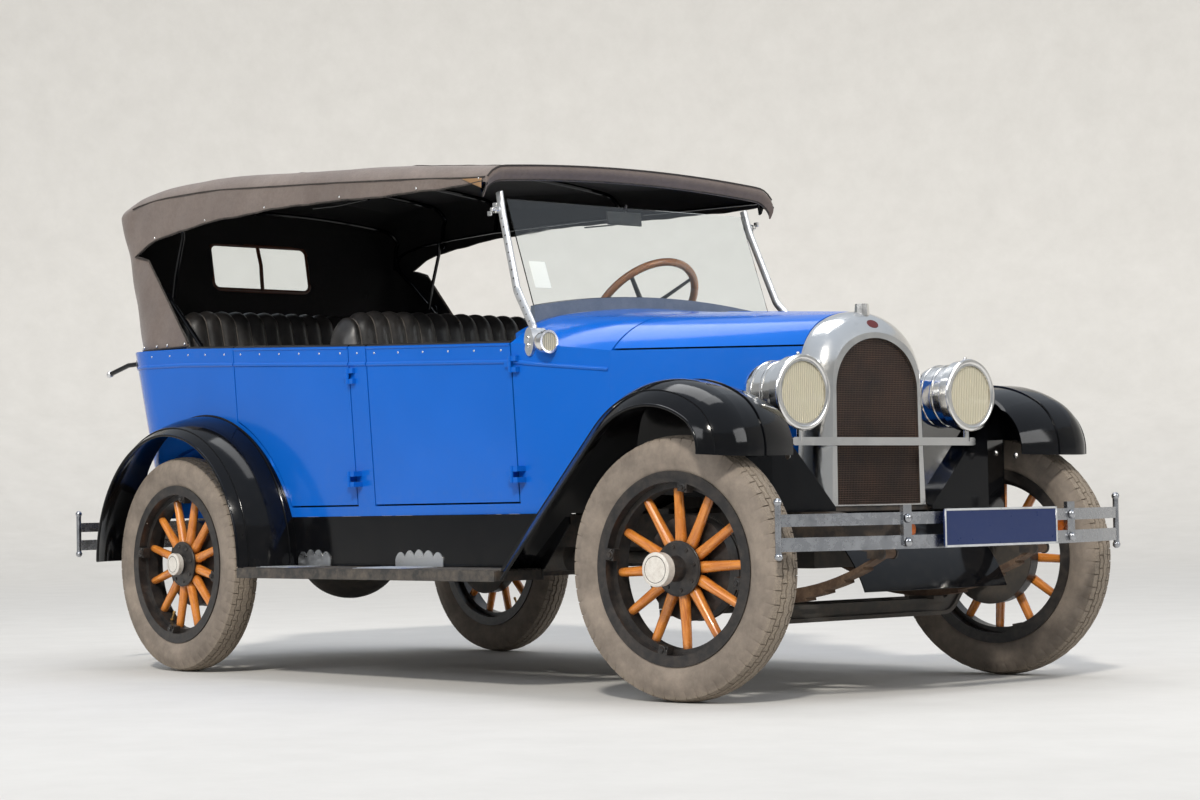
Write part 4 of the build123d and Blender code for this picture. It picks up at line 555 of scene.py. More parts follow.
# Wheels
FRONT_X, REAR_X, AXLE_Z, TRACK_Y, KINGPIN_Y = 1410, -1136, 378, 711, 600
STEER = radians(8)       # the front wheels stand turned to the left, as in the photograph
wheels = []              # place, centre, axle, hub cap's reach, radius and length, first spoke
for side, label in SIDES:
    axle = np.array((-side * sin(STEER), side * cos(STEER), 0))
    centre = (FRONT_X, side * KINGPIN_Y, AXLE_Z) + axle * (TRACK_Y - KINGPIN_Y)
    wheels.append((f"front_{label}", centre, axle, 126, 47, 32, 3))
for side, label in SIDES:
    wheels.append((f"rear_{label}", (REAR_X, side * TRACK_Y, AXLE_Z), (0, side, 0), 64, 37, 24, 16))


def tyre():
    """Outer lugs, middle blocks and a centre rib with a zigzag edge; fine rings on the sidewalls."""
    pitches, parts = 58, (0.0, 0.05, 0.45, 0.5, 0.55, 0.95)
    half = [(r, w, 1 if r > 344 else 4) for r, w in arc3((277.3, 45.7), (326, 57), (368, 46), 12)[:10]]
    # distance from the middle, zone (0 groove, 1 lugs, 2 blocks, 3 rib, 4 sidewall), groove's depth
    half += [(378 - w * w * 10 / 46 ** 2 - depth, w, zone) for w, zone, depth in (
        (46, 1, 0), (31.5, 1, 0), (30.5, 0, 6), (28.2, 0, 6), (27.2, 2, 0), (14.5, 2, 0), (13.4, 0, 6),
        (10.6, 0, 6), (9.4, 3, 0), (0, 3, 0))]
    section = half + [(r, -w, zone) for r, w, zone in half[-2::-1]]
    count = pitches * len(parts)
    grid = np.zeros((len(section), count, 3))
    for j in range(count):
        part = j % len(parts)
        a = 2 * pi * (j // len(parts) + parts[part]) / pitches
        zigzag = 2.6 if part in (0, 1, 5) else -2.6
        for i, (r, w, zone) in enumerate(section):
            side = 1 if w > 0 else -1
            shift = 0.9 * side if zone == 4 and i % 3 == 1 else 0
            if 9 < abs(w) < 15:
                shift = zigzag
            elif 27 < abs(w) < 32:
                shift = -zigzag * 0.8 * side
            if zone == 1 and part == 0:
                r -= 6 if abs(w) > 30 and r > 350 else 2.5
            elif zone == 2 and part == 3:
                r -= 5.5
            grid[i, j] = (r * cos(a), r * sin(a), w + shift)
    inner = ((277.3, -45.7), (252, -45.7), (252, 45.7), (277.3, 45.7))
    return Batch().grid(grid, wrap_v=True).grid([ring_at(r, w, count) for r, w in inner], wrap_v=True)


def turned(degrees):
    """Directions outwards and sideways at a place round the wheel."""
    a = radians(degrees)
    return np.array((cos(a), sin(a), 0)), np.array((-sin(a), cos(a), 0))


def spokes(first):
    """Twelve spokes from square feet to oval tips. Sections: radius, width, depth, squareness."""
    sections = ((40, 17, 33, 3.4), (66, 32, 34, 3.0), (76, 33.5, 34, 2.6), (96, 32.5, 33, 2.2),
                (130, 30.5, 31.5, 2.0), (170, 28.5, 30, 2.0), (205, 27.2, 29, 2.0), (219, 26.6, 28.6, 2.0),
                (228, 25, 27.5, 2.0))
    b = Batch()
    c, s = circle(20)
    for k in range(12):
        out, side = turned(first + 30 * k)
        rings = []
        for r, wide, deep, power in sections:
            swell = (np.abs(c) ** power + np.abs(s) ** power) ** (-1 / power) / 2
            rings.append(out * r + np.outer(c * swell * wide, side) + np.outer(s * swell * deep, UP))
        b.grid(rings, wrap_v=True)
    return b.lathe([(30.5, -16), (64, -16), (66, -14), (66, 14), (64, 16), (30.5, 16)], CENTRE, UP, 48)


def wheel_bolts():
    """Rim lugs, hub bolts and the hub's rolled edge, on the wheel's outer side."""
    b = Batch()
    for k in range(4):
        out, side = turned(80 + 90 * k)
        b.block(out * 240 + (0, 0, 48.2), (20, 34, 5), 2, out, side)
        b.bolt(out * 232 + (0, 0, 50), UP, 8.5, 7)
    for k in range(8):
        b.bolt(turned(45 * k + 11.4592)[0] * 62 + (0, 0, 24.2), UP, 6.5, 5.5)
    return b.lathe([(78.2, 22.6), (79.4, 23.6), (78.2, 24.8), (74, 25.2), (72.5, 24.3)], CENTRE, UP, 64)


tyre_mesh = None
for place, centre, axle, reach, r, length, first in wheels:
    on = {"body": f"wheel_{place}", "matrix": plane_matrix(centre, UP, axle)}
    stands_for = {"slot": "tyre", "replaces": f"tyre_{place}"}
    if tyre_mesh is None:
        tyre_mesh = tyre().build(f"tyre_tread_{place}", TYRE, **stands_for, **on).data
        clean(tyre_mesh, 0.00002)
        smooth(tyre_mesh, 32)
    else:
        enter(bpy.data.objects.new(f"tyre_tread_{place}", tyre_mesh), **stands_for, **on)
    spokes(first).build(f"wood_spokes_{place}", SPOKE, "spoke_wood", replaces=f"spokes_{place}", angle=50,
                        **on)
    wheel_bolts().build(f"wheel_bolts_{place}", WHEEL_BLACK, "wheel_metal", **on)
    out = turned(152)[0]
    Batch().lathe([(7.5, 0), (7.5, 3), (4, 4.5), (4, 24), (5.2, 25), (5.2, 33), (3, 35)], out * 226, -out,
                  14).build(f"tyre_valve_{place}", BRASS, "wheel_metal", **on)
    foot = reach - length
    cap = [(r - 10, foot - 3), (r - 2, foot - 1), (r + 0.8, foot + 2), (r + 0.8, foot + 7),
           (r + 0.8, reach - 9), (r + 1.6, reach - 8), (r + 2.2, reach - 5), (r + 1.2, reach - 2),
           (r - 3, reach - 0.4), (r - 6, reach + 0.8), (r - 9, reach - 0.2), (r - 13, reach + 0.4),
           (r * 0.35, reach + 1.6), (2, reach + 1.8)]
    barrel = [(40, 25), (39, 30), (37.2, 33), (36.4, foot - 8), (38, foot - 6), (38, foot - 2), (34, foot)]
    Batch().lathe(cap, CENTRE, UP, 72).build(f"hub_cap_{place}", ENAMEL, "wheel_metal", **on)
    Batch().lathe(barrel, CENTRE, UP, 48).build(f"hub_barrel_{place}", WHEEL_BLACK, "wheel_metal", **on)
enter(bpy.data.objects.new("tyre_tread_spare", tyre_mesh), "body", "tyre", "spare_tyre",
      plane_matrix((-1795, 0, 810), UP, BEHIND))

# Finish of the CAD nodes; the others are replaced below
DOORS = tuple(f"{door}_door_{label}" for door in ("front", "rear") for _, label in SIDES)
finish = {
    BLUE: (*DOORS, "sills_and_centre_posts", "rear_tub", "cowl", "bonnet_sides_and_hinge", "bonnet_top_left",
           "bonnet_top_right", "door_hinges"),
    BLACK: ("front_wings", "rear_wings", "splash_aprons", "top_irons"),
    CHASSIS: ("frame", "running_boards", "fuel_tank"),
    RUST: ("leaf_springs",),
    IRON: ("front_axle", "rear_axle", "power_unit", "exhaust", "knuckle_left", "knuckle_right", "tie_rod",
           "drop_arm", "drag_link"),
    NICKEL: ("radiator_shell", "headlamps", "cowl_lamps", "signal_lamps"),
    BUMPER_NICKEL_DARKENED: ("bumpers",),
    ALU: ("windscreen_frame", "step_plates"),
    WHEEL_BLACK: (*(f"rim_and_hub_{w[0]}" for w in wheels), "spare_rim_and_carrier", "steering_wheel",
                  "steering_column_and_levers", "dashboard"),
    CORE: ("radiator_core",),
    GLASS: ("windscreen_glass",),
    LENS: ("lamp_glasses",),
    NAVY: ("number_plate",),
    FLOOR_WOOD: ("floor_and_bulkhead",),
    LEATHER: ("front_seat", "rear_seat"),
    CANVAS: ("folding_top",),
}
material_of = {name: material for material, names in finish.items() for name in names}
for name, ob in nodes.items():
    ob.data.materials.clear()
    ob.data.materials.append(material_of.get(name, CHASSIS))
    if name in material_of:
        smooth(ob.data, 30)

# Folding top
TUB_R = 260              # plan radius of the tub's rear corners
# sections: x, crown z, end of the crown arc (y, z), joint with the side (y, z)
TOP = ((-1790, 1700, (560, 1672), (632, 1630)), (-1647, 1764, (560, 1728), (632, 1680)),
       (-1433, 1796, (560, 1756), (632, 1704)), (-1057, 1796, (560, 1756), (632, 1702)),
       (-375, 1752, (560, 1710), (632, 1658)), (122, 1712, (560, 1672), (632, 1622)),
       (462, 1655, (560, 1634), (632, 1592)))
TOP_FRONT = 462
CROWN, ROOF, SPLIT = 18, 26, 8       # last columns of the crown and the roof, columns of the valance
CURTAIN = ((1150, -1662), (1514, -1692), (1675, -1747), (1800, -1768))     # z, x of the rear curtain
CORNERS = ((1150, TUB_R - 22), (1514, 110), (1640, 80), (1800, 55))        # z, plan radius
FOOT_Y, FOOT_Z = 660, 1150.3
# the side opening under the hem: the valance's edge, the quarter flap's edge, and their corner
HEM = ((-1570, 1503), (-1530, 1519), (-1480, 1541), (-1400, 1557), (-1277, 1573), (-1049, 1590),
       (-767, 1597), (-527, 1598), (-239, 1588), (35, 1579), (246, 1576), (462, 1578))
FLAP = ((-1570, 1503), (-1530, 1498), (-1476, 1484), (-1352, 1344), (-1196, 1166), (-1188, FOOT_Z))
CORNER_X, FLAP_X = -1570, -1188
BOWS = (-1640, -1330, -1000, -300, 436)
top_x = [section[0] for section in TOP]
top_lines = []
for _, crown, knee, joint in TOP:
    # the second arc starts along the first one's end tangent, at twice its chord's angle
    a = 2 * atan2(knee[1] - crown, knee[0])
    top_lines.append(np.array(tangent_arc((0, crown), knee, (1, 0), CROWN)
                              + tangent_arc(knee, joint, (cos(a), sin(a)), ROOF - CROWN)[1:]))


def top_line(x):
    """The half outline across the top, from crown to side joint, averaged over 180 mm along the car."""
    total = 0
    for shift in (-90, -45, 0, 45, 90):
        q = min(max(x + shift, top_x[0]), top_x[-1])
        k = min(max(int(np.searchsorted(top_x, q)) - 1, 0), len(top_x) - 2)
        f = (q - top_x[k]) / (top_x[k + 1] - top_x[k])
        total = total + top_lines[k] * (1 - f) + top_lines[k + 1] * f
    return total / 5


def edge_z(x):
    """Lower edge of the valance, a little wavy ahead of the corner."""
    wave = 1.6 * sin(x / 61.0) + 0.9 * sin(x / 23.0 + 1.0)
    return follow(HEM, x) + wave * min(1, max(0, (x + 1560) / 200))


def bow_sag(x, y):
    """The canvas hangs a little between the bows and pulls tight over them."""
    for a, b in zip(BOWS, BOWS[1:]):
        if a <= x <= b:
            t = (x - a) / (b - a)
            return -36.0 * t * (1 - t) * max(0.0, 1 - (abs(y) / 600) ** 4)
    return 0.0


def ripple(x, y, z):
    """Shallow folds that run in from the seams."""
    return (1.2 * sin(x / 47 + y / 90) * sin(y / 38 + x / 160) + 0.8 * sin(x / 23 - z / 41)
            + 1.0 * sin(z / 29 + x / 75))


def curtain_x(z):
    return follow(CURTAIN, z)


def wrap(p, weight=1.0):
    """Bends a point of the side round the rear corner: its x counts along the cloth."""
    x, y, z = p
    r = follow(CORNERS, z) * weight
    start = curtain_x(min(z, 1760)) + r
    if x >= start or r < 1:
        return np.array((x, y, z))
    a = min((start - x) / r, pi / 2)
    return np.array((start - r * sin(a), y - r * (1 - cos(a)), z))


def canvas_y(z, joint):
    """The side leans straight from its joint with the roof to its foot."""
    return joint[0] + (FOOT_Y - joint[0]) * (joint[1] - z) / (joint[1] - FOOT_Z)


def top_outline(x, low=None):
    """Half outline of the whole sheet at one place: roof, valance, then the quarter flap."""
    line = top_line(x)
    joint = line[-1]
    hem = edge_z(max(x, CORNER_X)) if low is None else low
    flap = follow(FLAP, x) if x > CORNER_X else hem
    heights = [joint[1] + (hem - joint[1]) * k / SPLIT for k in range(1, SPLIT + 1)]
    heights += [flap + (FOOT_Z - flap) * k / 9 for k in range(10)]
    return np.array([(x, y, z) for y, z in line] + [(x, canvas_y(z, joint), z) for z in heights])


def corner_weight(y, i):
    """The corner is round on the side and dies out towards the middle of the roof."""
    return 1.0 if i >= ROOF else max(0.0, (y - 430) / 202) ** 1.5


def top_grid():
    """One sheet: roof, valances and rear quarters, wrapped round to the edge of the rear curtain."""
    front = top_outline(TOP_FRONT)
    rows = [front + (dx, 0, dz) for dx, dz in ((-4, -50), (2, -47), (6, -38), (12, -30), (17, -20),
                                               (17, -10), (13, -4), (7, -1))]
    stations = [*np.linspace(TOP_FRONT, FLAP_X, 60), *np.linspace(-1215, CORNER_X, 15)]
    places = [TOP_FRONT] * len(rows) + stations
    for x in stations:
        p = top_outline(x)
        for i, (px, py, pz) in enumerate(p.copy()):
            if i <= CROWN:
                p[i, 2] += bow_sag(px, py) + ripple(px, py, pz) * 0.6
            else:
                p[i, 1] += ripple(px, py, pz) * (1.1 if i <= ROOF + SPLIT else 1.8)
            p[i] = wrap(p[i], corner_weight(py, i))
        rows.append(p)
    rear = top_outline(CORNER_X)
    for s in np.linspace(0, 1, 15)[1:]:
        p = []
        for i, (_, start_y, z) in enumerate(rear):
            for _ in range(3):       # the reach depends on the height, which moves with the reach
                w = corner_weight(start_y, i)
                reach = curtain_x(min(z, 1760)) + follow(CORNERS, z) * w * (1 - pi / 2)
                q = top_outline(CORNER_X + s * (reach - CORNER_X), HEM[0][1])[i]
                z = q[2]
            w = corner_weight(q[1], i)
            if i > CROWN:
                q[1] += ripple(*q) * 1.8 * (1 - s * 0.6)
            else:
                q[2] += ripple(*q) * 0.6
            p.append(wrap(q, w))
        rows.append(np.array(p))
        places.append(CORNER_X - 1)
    half = np.array(rows)
    return np.concatenate([half[:, :0:-1] * (1, -1, 1), half], axis=1), places


# the rear curtain is sewn on the sheet's last row; its grid has lines along the window's edges
WINDOW_Z, WINDOW_Y, CURTAIN_Y, WINDOW_CORNER = (1411, 1589), 225, 641, 30
roof, places = top_grid()
middle = roof.shape[1] // 2
sewn = roof[-1][middle:]
edge_x, edge_y, edge_height = sewn[np.argsort(sewn[:, 2])].T
levels = {round(float(z), 3) for z in sewn[1:, 2]} | set(WINDOW_Z)
levels = sorted((z for z in levels if z in WINDOW_Z or all(abs(z - w) >= 9 for w in WINDOW_Z)), reverse=True)
cross = [-1.0, -0.85, -0.7, -0.55, -0.45, -WINDOW_Y / CURTAIN_Y, -0.28, -0.2, -0.12, -0.05]
curtain = []
for z in levels:
    x, y = np.interp(z, edge_height, edge_x), np.interp(z, edge_height, edge_y)
    row = []
    for t in cross + [0.0] + [-t for t in cross[::-1]]:
        swell = (1 - t * t) ** 2 * (5 * sin((z - 1150) / 500 * pi) + 1.6 * sin(z / 31 + t * 4))
        row.append((x - swell - 0.6, WINDOW_Y * np.sign(t) if abs(t) == -cross[5] else y * t, z))
    curtain.append(row)
curtain = np.array(curtain)


def is_canvas(i, j):
    """Whether the sheet has a face there: nothing between valance and flap, no flap further ahead."""
    k = abs(j + 0.5 - middle) - 0.5          # column counted from the crown
    return k < ROOF + SPLIT or k > ROOF + SPLIT and places[i + 1] <= FLAP_X - 1


def is_curtain(i, j):
    z, y = curtain[i:i + 2, j, 2].mean(), curtain[i, j:j + 2, 1].mean()
    return not (WINDOW_Z[0] < z < WINDOW_Z[1] and abs(y) < WINDOW_Y)


canopy = Batch().grid(roof, keep=is_canvas).grid(curtain, keep=is_curtain)
top_piece = canopy.build("top_canopy", CANVAS, "canvas", replaces="folding_top")
clean(top_piece.data, 0.004)
top_piece.data.materials.append(LINING)
modifier(top_piece, "SUBSURF", levels=1, render_levels=1)
modifier(top_piece, "SOLIDIFY", thickness=0.0035, offset=-1, material_offset=1, material_offset_rim=0,
         use_even_offset=False)
top_piece.data.shade_smooth()


def side_point(x, z, lift=0.0):
    """A point on the left side of the top."""
    return (x, canvas_y(z, top_line(x)[-1]) + lift, z)


def roof_z(x, y):
    return float(np.interp(abs(y), *top_line(x).T))


# the seam where the roof meets the side, and a lengthways seam on each half of the roof
seams = Batch()
seams.tube([(x, top_line(x)[-1][0] + 1.0, top_line(x)[-1][1] + 1.5) for x in np.linspace(470, -1600, 90)],
           2.4, 8)
seams.tube([(x, 300, roof_z(x, 300) + bow_sag(x, 300) + ripple(x, 300, roof_z(x, 300)) * 0.6 + 1.2)
            for x in np.linspace(TOP_FRONT, -1700, 80)], 2.0, 6, section=(2.2, 0.6))
# bound edge of the valance, round the corner of the opening and down the flap; then the flap's foot
seams.tube([side_point(x, edge_z(x) + 2, 1.0) for x in np.linspace(458, CORNER_X, 130)]
           + [side_point(x, z, 1.0) for x, z in FLAP[1:-1]], 3.4, 8)
seams.tube([wrap((x, 661.5, 1154)) for x in np.linspace(-1195, -1745, 46)], 3.2, 8)
seams.mirror()
for x, lift in ((TOP_FRONT + 1, -46), (TOP_FRONT + 15, -2)):
    seams.tube([(x, y, roof_z(TOP_FRONT, y) + lift) for y in np.linspace(-628, 628, 70)], 2.6, 8)
seams.build("top_seams_and_bindings", BINDING, "canvas")

# rear window: rounded moulding with one upright, glass behind it
window = Batch()
loop = []
for k, (sy, sz) in enumerate(((1, 1), (-1, 1), (-1, -1), (1, -1))):
    for a in np.linspace(k * pi / 2, (k + 1) * pi / 2, 9):
        z = sum(WINDOW_Z) / 2 + sz * (89 - WINDOW_CORNER) + WINDOW_CORNER * sin(a)
        loop.append((curtain_x(z) - 4.5, sy * (WINDOW_Y - WINDOW_CORNER) + WINDOW_CORNER * cos(a), z))
window.tube(loop, 1, closed=True, section=(9, 5), up=AHEAD)
window.tube([(curtain_x(z) - 4.5, 0, z) for z in np.linspace(1413, 1587, 8)], 1, section=(9, 4.5), up=AHEAD)
window.build("rear_window_moulding", WINDOW_WOOD, "rim_wood")
PANE = ((1412, 0), (1588, 0), (1588, 3), (1412, 3))
Batch().grid([[(curtain_x(z) - 3.6 + d, y, z) for z, d in PANE] for y in (-224, 224)], False, True,
             True).build("rear_window_pane", GLASS, "glass", angle=None)

# leather patches at the front corners, studs of the valance, the flap and the curtain
patch = Batch()
rows = []
for x in np.linspace(456, 360, 9):
    z = top_line(x)[-1][1]
    rows.append([side_point(x, low, 2.2) for low in np.linspace(z - 2, z - 34 + (456 - x) * 0.32, 6)])
patches = patch.grid(rows).mirror().build("top_corner_patches", PATCH, "leather")
modifier(patches, "SOLIDIFY", thickness=0.0015, offset=1)
studs = Batch()
for x in (440, 120, -300, -740, -1110, -1440):
    studs.rivet(side_point(x, edge_z(x) + 13, 1.5), OUT, 4.5, 3)
for x in (-1215, -1330, -1400):
    studs.rivet(side_point(x, 1164, 3.5), OUT, 5.5, 3.4)
for u in (-1500, -1600, -1690):
    at, ahead = wrap((u, 663.5, 1164)), wrap((u - 5, 663.5, 1164))
    studs.rivet(at, (ahead[1] - at[1], at[0] - ahead[0], 0), 5.5, 3.4)
studs.mirror()
for y in (-400, -270, -135, 0, 135, 270, 400):
    studs.rivet((curtain_x(1163) - 4, y, 1163), BEHIND, 5.5, 3.4)
studs.build("top_studs", NICKEL, "nickel")

# side irons, nuts and washers, the rests that stick out behind, and the bows under the canvas
IRON_Y = 606
RAIL = ((-1630, 1556), (-1560, 1580), (-1450, 1596), (-1250, 1606), (-1000, 1612), (-300, 1606),
        (436, 1588))
MAIN = ((-1110, 1122), (-1150, 1124), (-1176, 1142), (-1397, 1342), (-1520, 1440), (-1612, 1510), RAIL[0])
irons = Batch()
for line, y, section, seg in (
        (MAIN, IRON_Y, (6, 10.5), 12), (RAIL, IRON_Y, (5, 8), 10),
        (((-1397, 1342), (-1380, 1420), (-1330, 1553), (-1326, 1600)), IRON_Y - 16, (4, 8), 10),
        (((-480, 1584), (-330, 1580), (-170, 1586)), IRON_Y + 5, (3, 6), 8)):
    irons.tube([(x, y, z) for x, z in line], 1, seg, section=section, up=OUT)
irons.block((-1135, 632, 1122), (70, 40, 5))
irons.block((-1135, 615, 1132), (50, 6, 26))
for x, z, r in ((-300, 1606, 8), (-1397, 1342, 11), (-1150, 1125, 11), (-1334, 1590, 8), (-1630, 1556, 9),
                (436, 1588, 8)):
    irons.lathe([(r * 1.7, 0), (r * 1.7, 3), (r * 1.4, 4.5), (r, 5), (r, 9), (r * 0.7, 11)],
                (x, IRON_Y + 6, z), OUT, 20)
irons.tube([(-1605, 594, 1114), (-1700, 596, 1112), (-1830, 598, 1084)], 9, 12)
irons.lathe([(26, -4), (26, 2), (20, 6), (10, 8)], (-1628, 597, 1114), (-0.69, 0.72, 0))
irons.mirror()
for x in BOWS:
    arch = [(max(y - 8, 0), z - 17) for y, z in top_line(max(x, -1600))]
    arch += [(IRON_Y + 8, arch[-1][1] - 26), (IRON_Y + 2, follow(RAIL, x) + 4)]
    drop = 45 if x == BOWS[0] else 0
    irons.tube([(x, -y, z - drop) for y, z in arch[:0:-1]] + [(x, y, z - drop) for y, z in arch], 8, 8)
irons.build("top_irons_and_bows", BLACK, "black_paint", replaces="top_irons")
tips = Batch().lathe([(9.2, -2), (11.5, 0), (12, 3), (12, 14), (10, 18), (4, 19.5)], (-1822, 598, 1086),
                     (-1, 0, -0.23), 20)
tips.mirror().build("top_rest_tips", ALU, "nickel")

# Body beads and trims
SILL_Z, BELT_Z = 538, 1160
COWL = ((598, (645, 1066), (614, 538)), (750, (594, 1050), (584, 538)), (899, (500, 1030), (536, 538)))
BELT = ((-1520, 1150), (-1192, 1144), (-120, 1094), (598, 1066), (899, 1030))
BEAD, BEAD_SECTION = 58, (5, 7)      # the bead's drop under the belt line
DOOR_SPANS = (("front", -114, 592), ("rear", -880, -216))


def tub_at(z):
    """Half width, rear end and half width at the front of the body at a height."""
    t = (z - SILL_Z) / (BELT_Z - SILL_Z)
    return 640 + 40 * t, -1590 - 116 * t, 614 + 37 * t


def tub_y(x, z):
    """Outer half width of the tub and doors."""
    half, tail, front = tub_at(z)
    if x < tail + TUB_R:
        return half - TUB_R + sqrt(max(0.0, TUB_R ** 2 - (tail + TUB_R - x) ** 2))
    if x <= -500:
        return half
    d = half - front
    r = (1098 ** 2 + d * d) / (2 * d)
    return half - r + sqrt(r * r - (x + 500) ** 2)


def cowl_y(x, z):
    """Outer half width of the cowl: a parabola through its three sections."""
    (x0, x1, x2), joints, feet = zip(*COWL)
    a, b, c = (j[0] + (f[0] - j[0]) * (j[1] - z) / (j[1] - f[1]) for j, f in zip(joints, feet))
    return (a * (x - x1) * (x - x2) / ((x0 - x1) * (x0 - x2))
            + b * (x - x0) * (x - x2) / ((x1 - x0) * (x1 - x2))
            + c * (x - x0) * (x - x1) / ((x2 - x0) * (x2 - x1)))


def belt_point(x, side, drop):
    z = follow(BELT, x) - drop
    return (x, side * tub_y(x, z), z)


def bead_line(x0, x1, side, drop=BEAD):
    return [belt_point(x, side, drop) for x in np.linspace(x0, x1, max(2, int(abs(x1 - x0) / 30)))]


def roll_line(x0, x1, side, n):
    points = [belt_point(x, side, 0) for x in np.linspace(x0, x1, n)]
    return [(x, y - side * 20.5, z + 1.5) for x, y, z in points]


beads, rolls, screws = (defaultdict(Batch, body=Batch()) for _ in range(3))
for side, label in SIDES:
    for door, x0, x1 in DOOR_SPANS:
        name = f"{door}_door_{label}"
        beads[name].tube(bead_line(x0, x1, side), 1, section=BEAD_SECTION)
        beads[name].tube(bead_line(x0, x1, side, 5), 1, 8, section=(3.5, 4.5))
        rolls[name].tube(roll_line(x0 + 1, x1 - 1, side, 26), 1, 12, section=(18, 6.5))
        for x in np.linspace(x0 + 41, x1 - 41, 6):
            screws[name].rivet(belt_point(x, side, 22), (0, side, 0), 4, 2.2)
    for x0, x1 in ((-209.5, -120.5), (-1440, -887)):
        beads["body"].tube(bead_line(x0, x1, side), 1, section=BEAD_SECTION)
    for x0, x1 in ((-1184, -888), (-208, -122)):
        rolls["body"].tube(roll_line(x0, x1, side, 12), 1, 12, section=(18, 6.5))
    for x in (-165, -940, -1060, -1170, -1290, -1410):
        screws["body"].rivet(belt_point(x, side, 22), (0, side, 0), 4, 2.2)
    cowl_line = [(x, follow(BELT, x) - BEAD) for x in np.linspace(600, 893, 14)]
    beads["body"].tube([(x, side * cowl_y(x, z), z) for x, z in cowl_line], 1, section=BEAD_SECTION)
z = 1150 - BEAD
half, tail, _ = tub_at(z)
round_back = [(tail + TUB_R * (1 + cos(a)), half - TUB_R * (1 - sin(a)), z)
              for a in np.linspace(pi / 2, pi, 14)]
round_back += [(tail, y, z) for y in np.linspace(half - TUB_R, 0, 10)[1:]]
beads["body"].tube(round_back + [(x, -y, z) for x, y, z in round_back[-2::-1]], 1, section=BEAD_SECTION)
for prefix, batches, material, slot in (("belt_bead", beads, BLUE, "body_blue"),
                                        ("edge_roll", rolls, LEATHER, "leather"),
                                        ("belt_screws", screws, NICKEL, "nickel")):
    for body, b in batches.items():
        b.build(f"{prefix}_{body}", material, slot, body)


# Seats
def gather(y, pitch):
    """Height of a tuck-and-roll pleat: it climbs slowly and falls steeply at each seam."""
    u = (y / pitch) % 1.0
    return sin(pi * u ** 1.35) ** 0.6 if 0 < u < 1 else 0.0


def pleated(name, loop, half, pitch, depth, drop, node):
    """A stuffed form with pleats, piped along each seam with pale cords that are painted highlights of the
    raised pleat edges.

    loop: (x, z, share of the pleat's depth) round the section. Its ends pull in over the last 46 mm
    and fall by drop over the last 160 mm.
    """
    thick = 46.0
    pts = resample(loop + loop[:1], 11)[:-1]
    xz, share = pts[:, :2], pts[:, 2]
    t = np.roll(xz, -1, 0) - np.roll(xz, 1, 0)
    normal = np.stack([t[:, 1], -t[:, 0]], 1) / np.linalg.norm(t, axis=1)[:, None]
    if np.sum((xz - xz.mean(0)) * normal) < 0:
        normal = -normal
    low, high = xz[:, 1].min(), xz[:, 1].max()
    count = int(round(2 * half / pitch)) * 12
    ys = np.linspace(-half, half, count + 1)
    rows = []
    for y in ys:
        a = min(max((abs(y) - (half - thick)) / thick, 0), 1)
        b = min(max((abs(y) - (half - 160)) / 160, 0), 1)
        inset = thick * (1 - sqrt(1 - a * a)) * 0.92
        out = depth * gather(y, pitch) * (1 - a) + 5.0 * (1 - (y / half) ** 2)
        p = xz + normal * (out * share - inset)[:, None]
        p[:, 1] -= drop * (1 - sqrt(1 - b * b)) * (xz[:, 1] - low) / (high - low)
        rows.append([(x, y, z) for x, z in p])
    Batch().grid(rows, False, True, True).build(name, LEATHER, "leather", replaces=node, angle=60)
    # pale cords along the seams, painted highlights of the raised pleat edges
    highlight_cord = Batch()
    for k in range(1, count):
        if abs(ys[k] / pitch - round(ys[k] / pitch)) < 0.5 / 12:
            line = [(x + n[0] * 1.5, y, z + n[1] * 1.5) for (x, y, z), n, w in zip(rows[k], normal, share)
                    if w > 0.55]
            if len(line) > 3:
                highlight_cord.tube(line, 1.7, 6)
    highlight_cord.build(f"{name}_piping", SEAM_HIGHLIGHT_CORD, "leather")


def back_loop(x0, z0, x1, z1, t):
    """Section of a seat back: front face, big roll over the top, flat rear face."""
    d = unit((x1 - x0, z1 - z0))
    f = np.array((d[1], -d[0]))
    head, foot = np.array((x1, z1)) - d * t, np.array((x0, z0))
    loop = [(*(foot + f * t * 0.75), 0.3), (*(foot + d * 60 + f * t), 0.9),
            (*(foot + d * 200 + f * t * 1.1), 1.0), (*(head + f * t), 1.0)]
    for k in range(1, 10):
        a = pi * k / 10
        loop.append((*(head + f * t * cos(a) + d * t * sin(a)), 1.0 - max(0, k - 5) * 0.2))
    return loop + [(*(head - f * t), 0.1), (*(foot - f * t * 0.85), 0.0)]


def cushion_loop(rear, front, low, top):
    """Section of a cushion with a round front edge, from its upper rear corner."""
    r = 52
    loop = [(rear + 12, top - 22, 0.4), (rear + 40, top - 10, 0.8), ((rear + front) / 2, top + 4, 1.0),
            (front - r, top - 2, 1.0)]
    for k in range(1, 9):
        a = pi / 2 * (1 - k / 8)
        loop.append((front - r + r * cos(a), top - 2 - r + r * sin(a), 1.0 - k * 0.05))
    return loop + [(front - 6, low + 30, 0.5), (front - 16, low + 4, 0.1), (front - 30, low, 0),
                   (rear + 12, low, 0), (rear, low + 20, 0), (rear, top - 50, 0.1)]


for seat, back, pad in (("front", (-342, 760, -438, 1222), (-300, 190, 697, 838)),
                        ("rear", (-1350, 760, -1474, 1288), (-1312, -832, 697, 838))):
    pleated(f"{seat}_seat_back", back_loop(*back, 56), 572, 63.5, 14, 84, f"{seat}_seat")
    pleated(f"{seat}_seat_cushion", cushion_loop(*pad), 560, 70, 10, 12, f"{seat}_seat")


# Wings
def section_height(y, crown, edge):
    """Radial height of a wing's section: an arc that is level at the crown."""
    w, h = abs(edge[0] - crown), -edge[1]
    r = (w * w + h * h) / (2 * h)
    return -(r - sqrt(max(0.0, r * r - (y - crown) ** 2)))


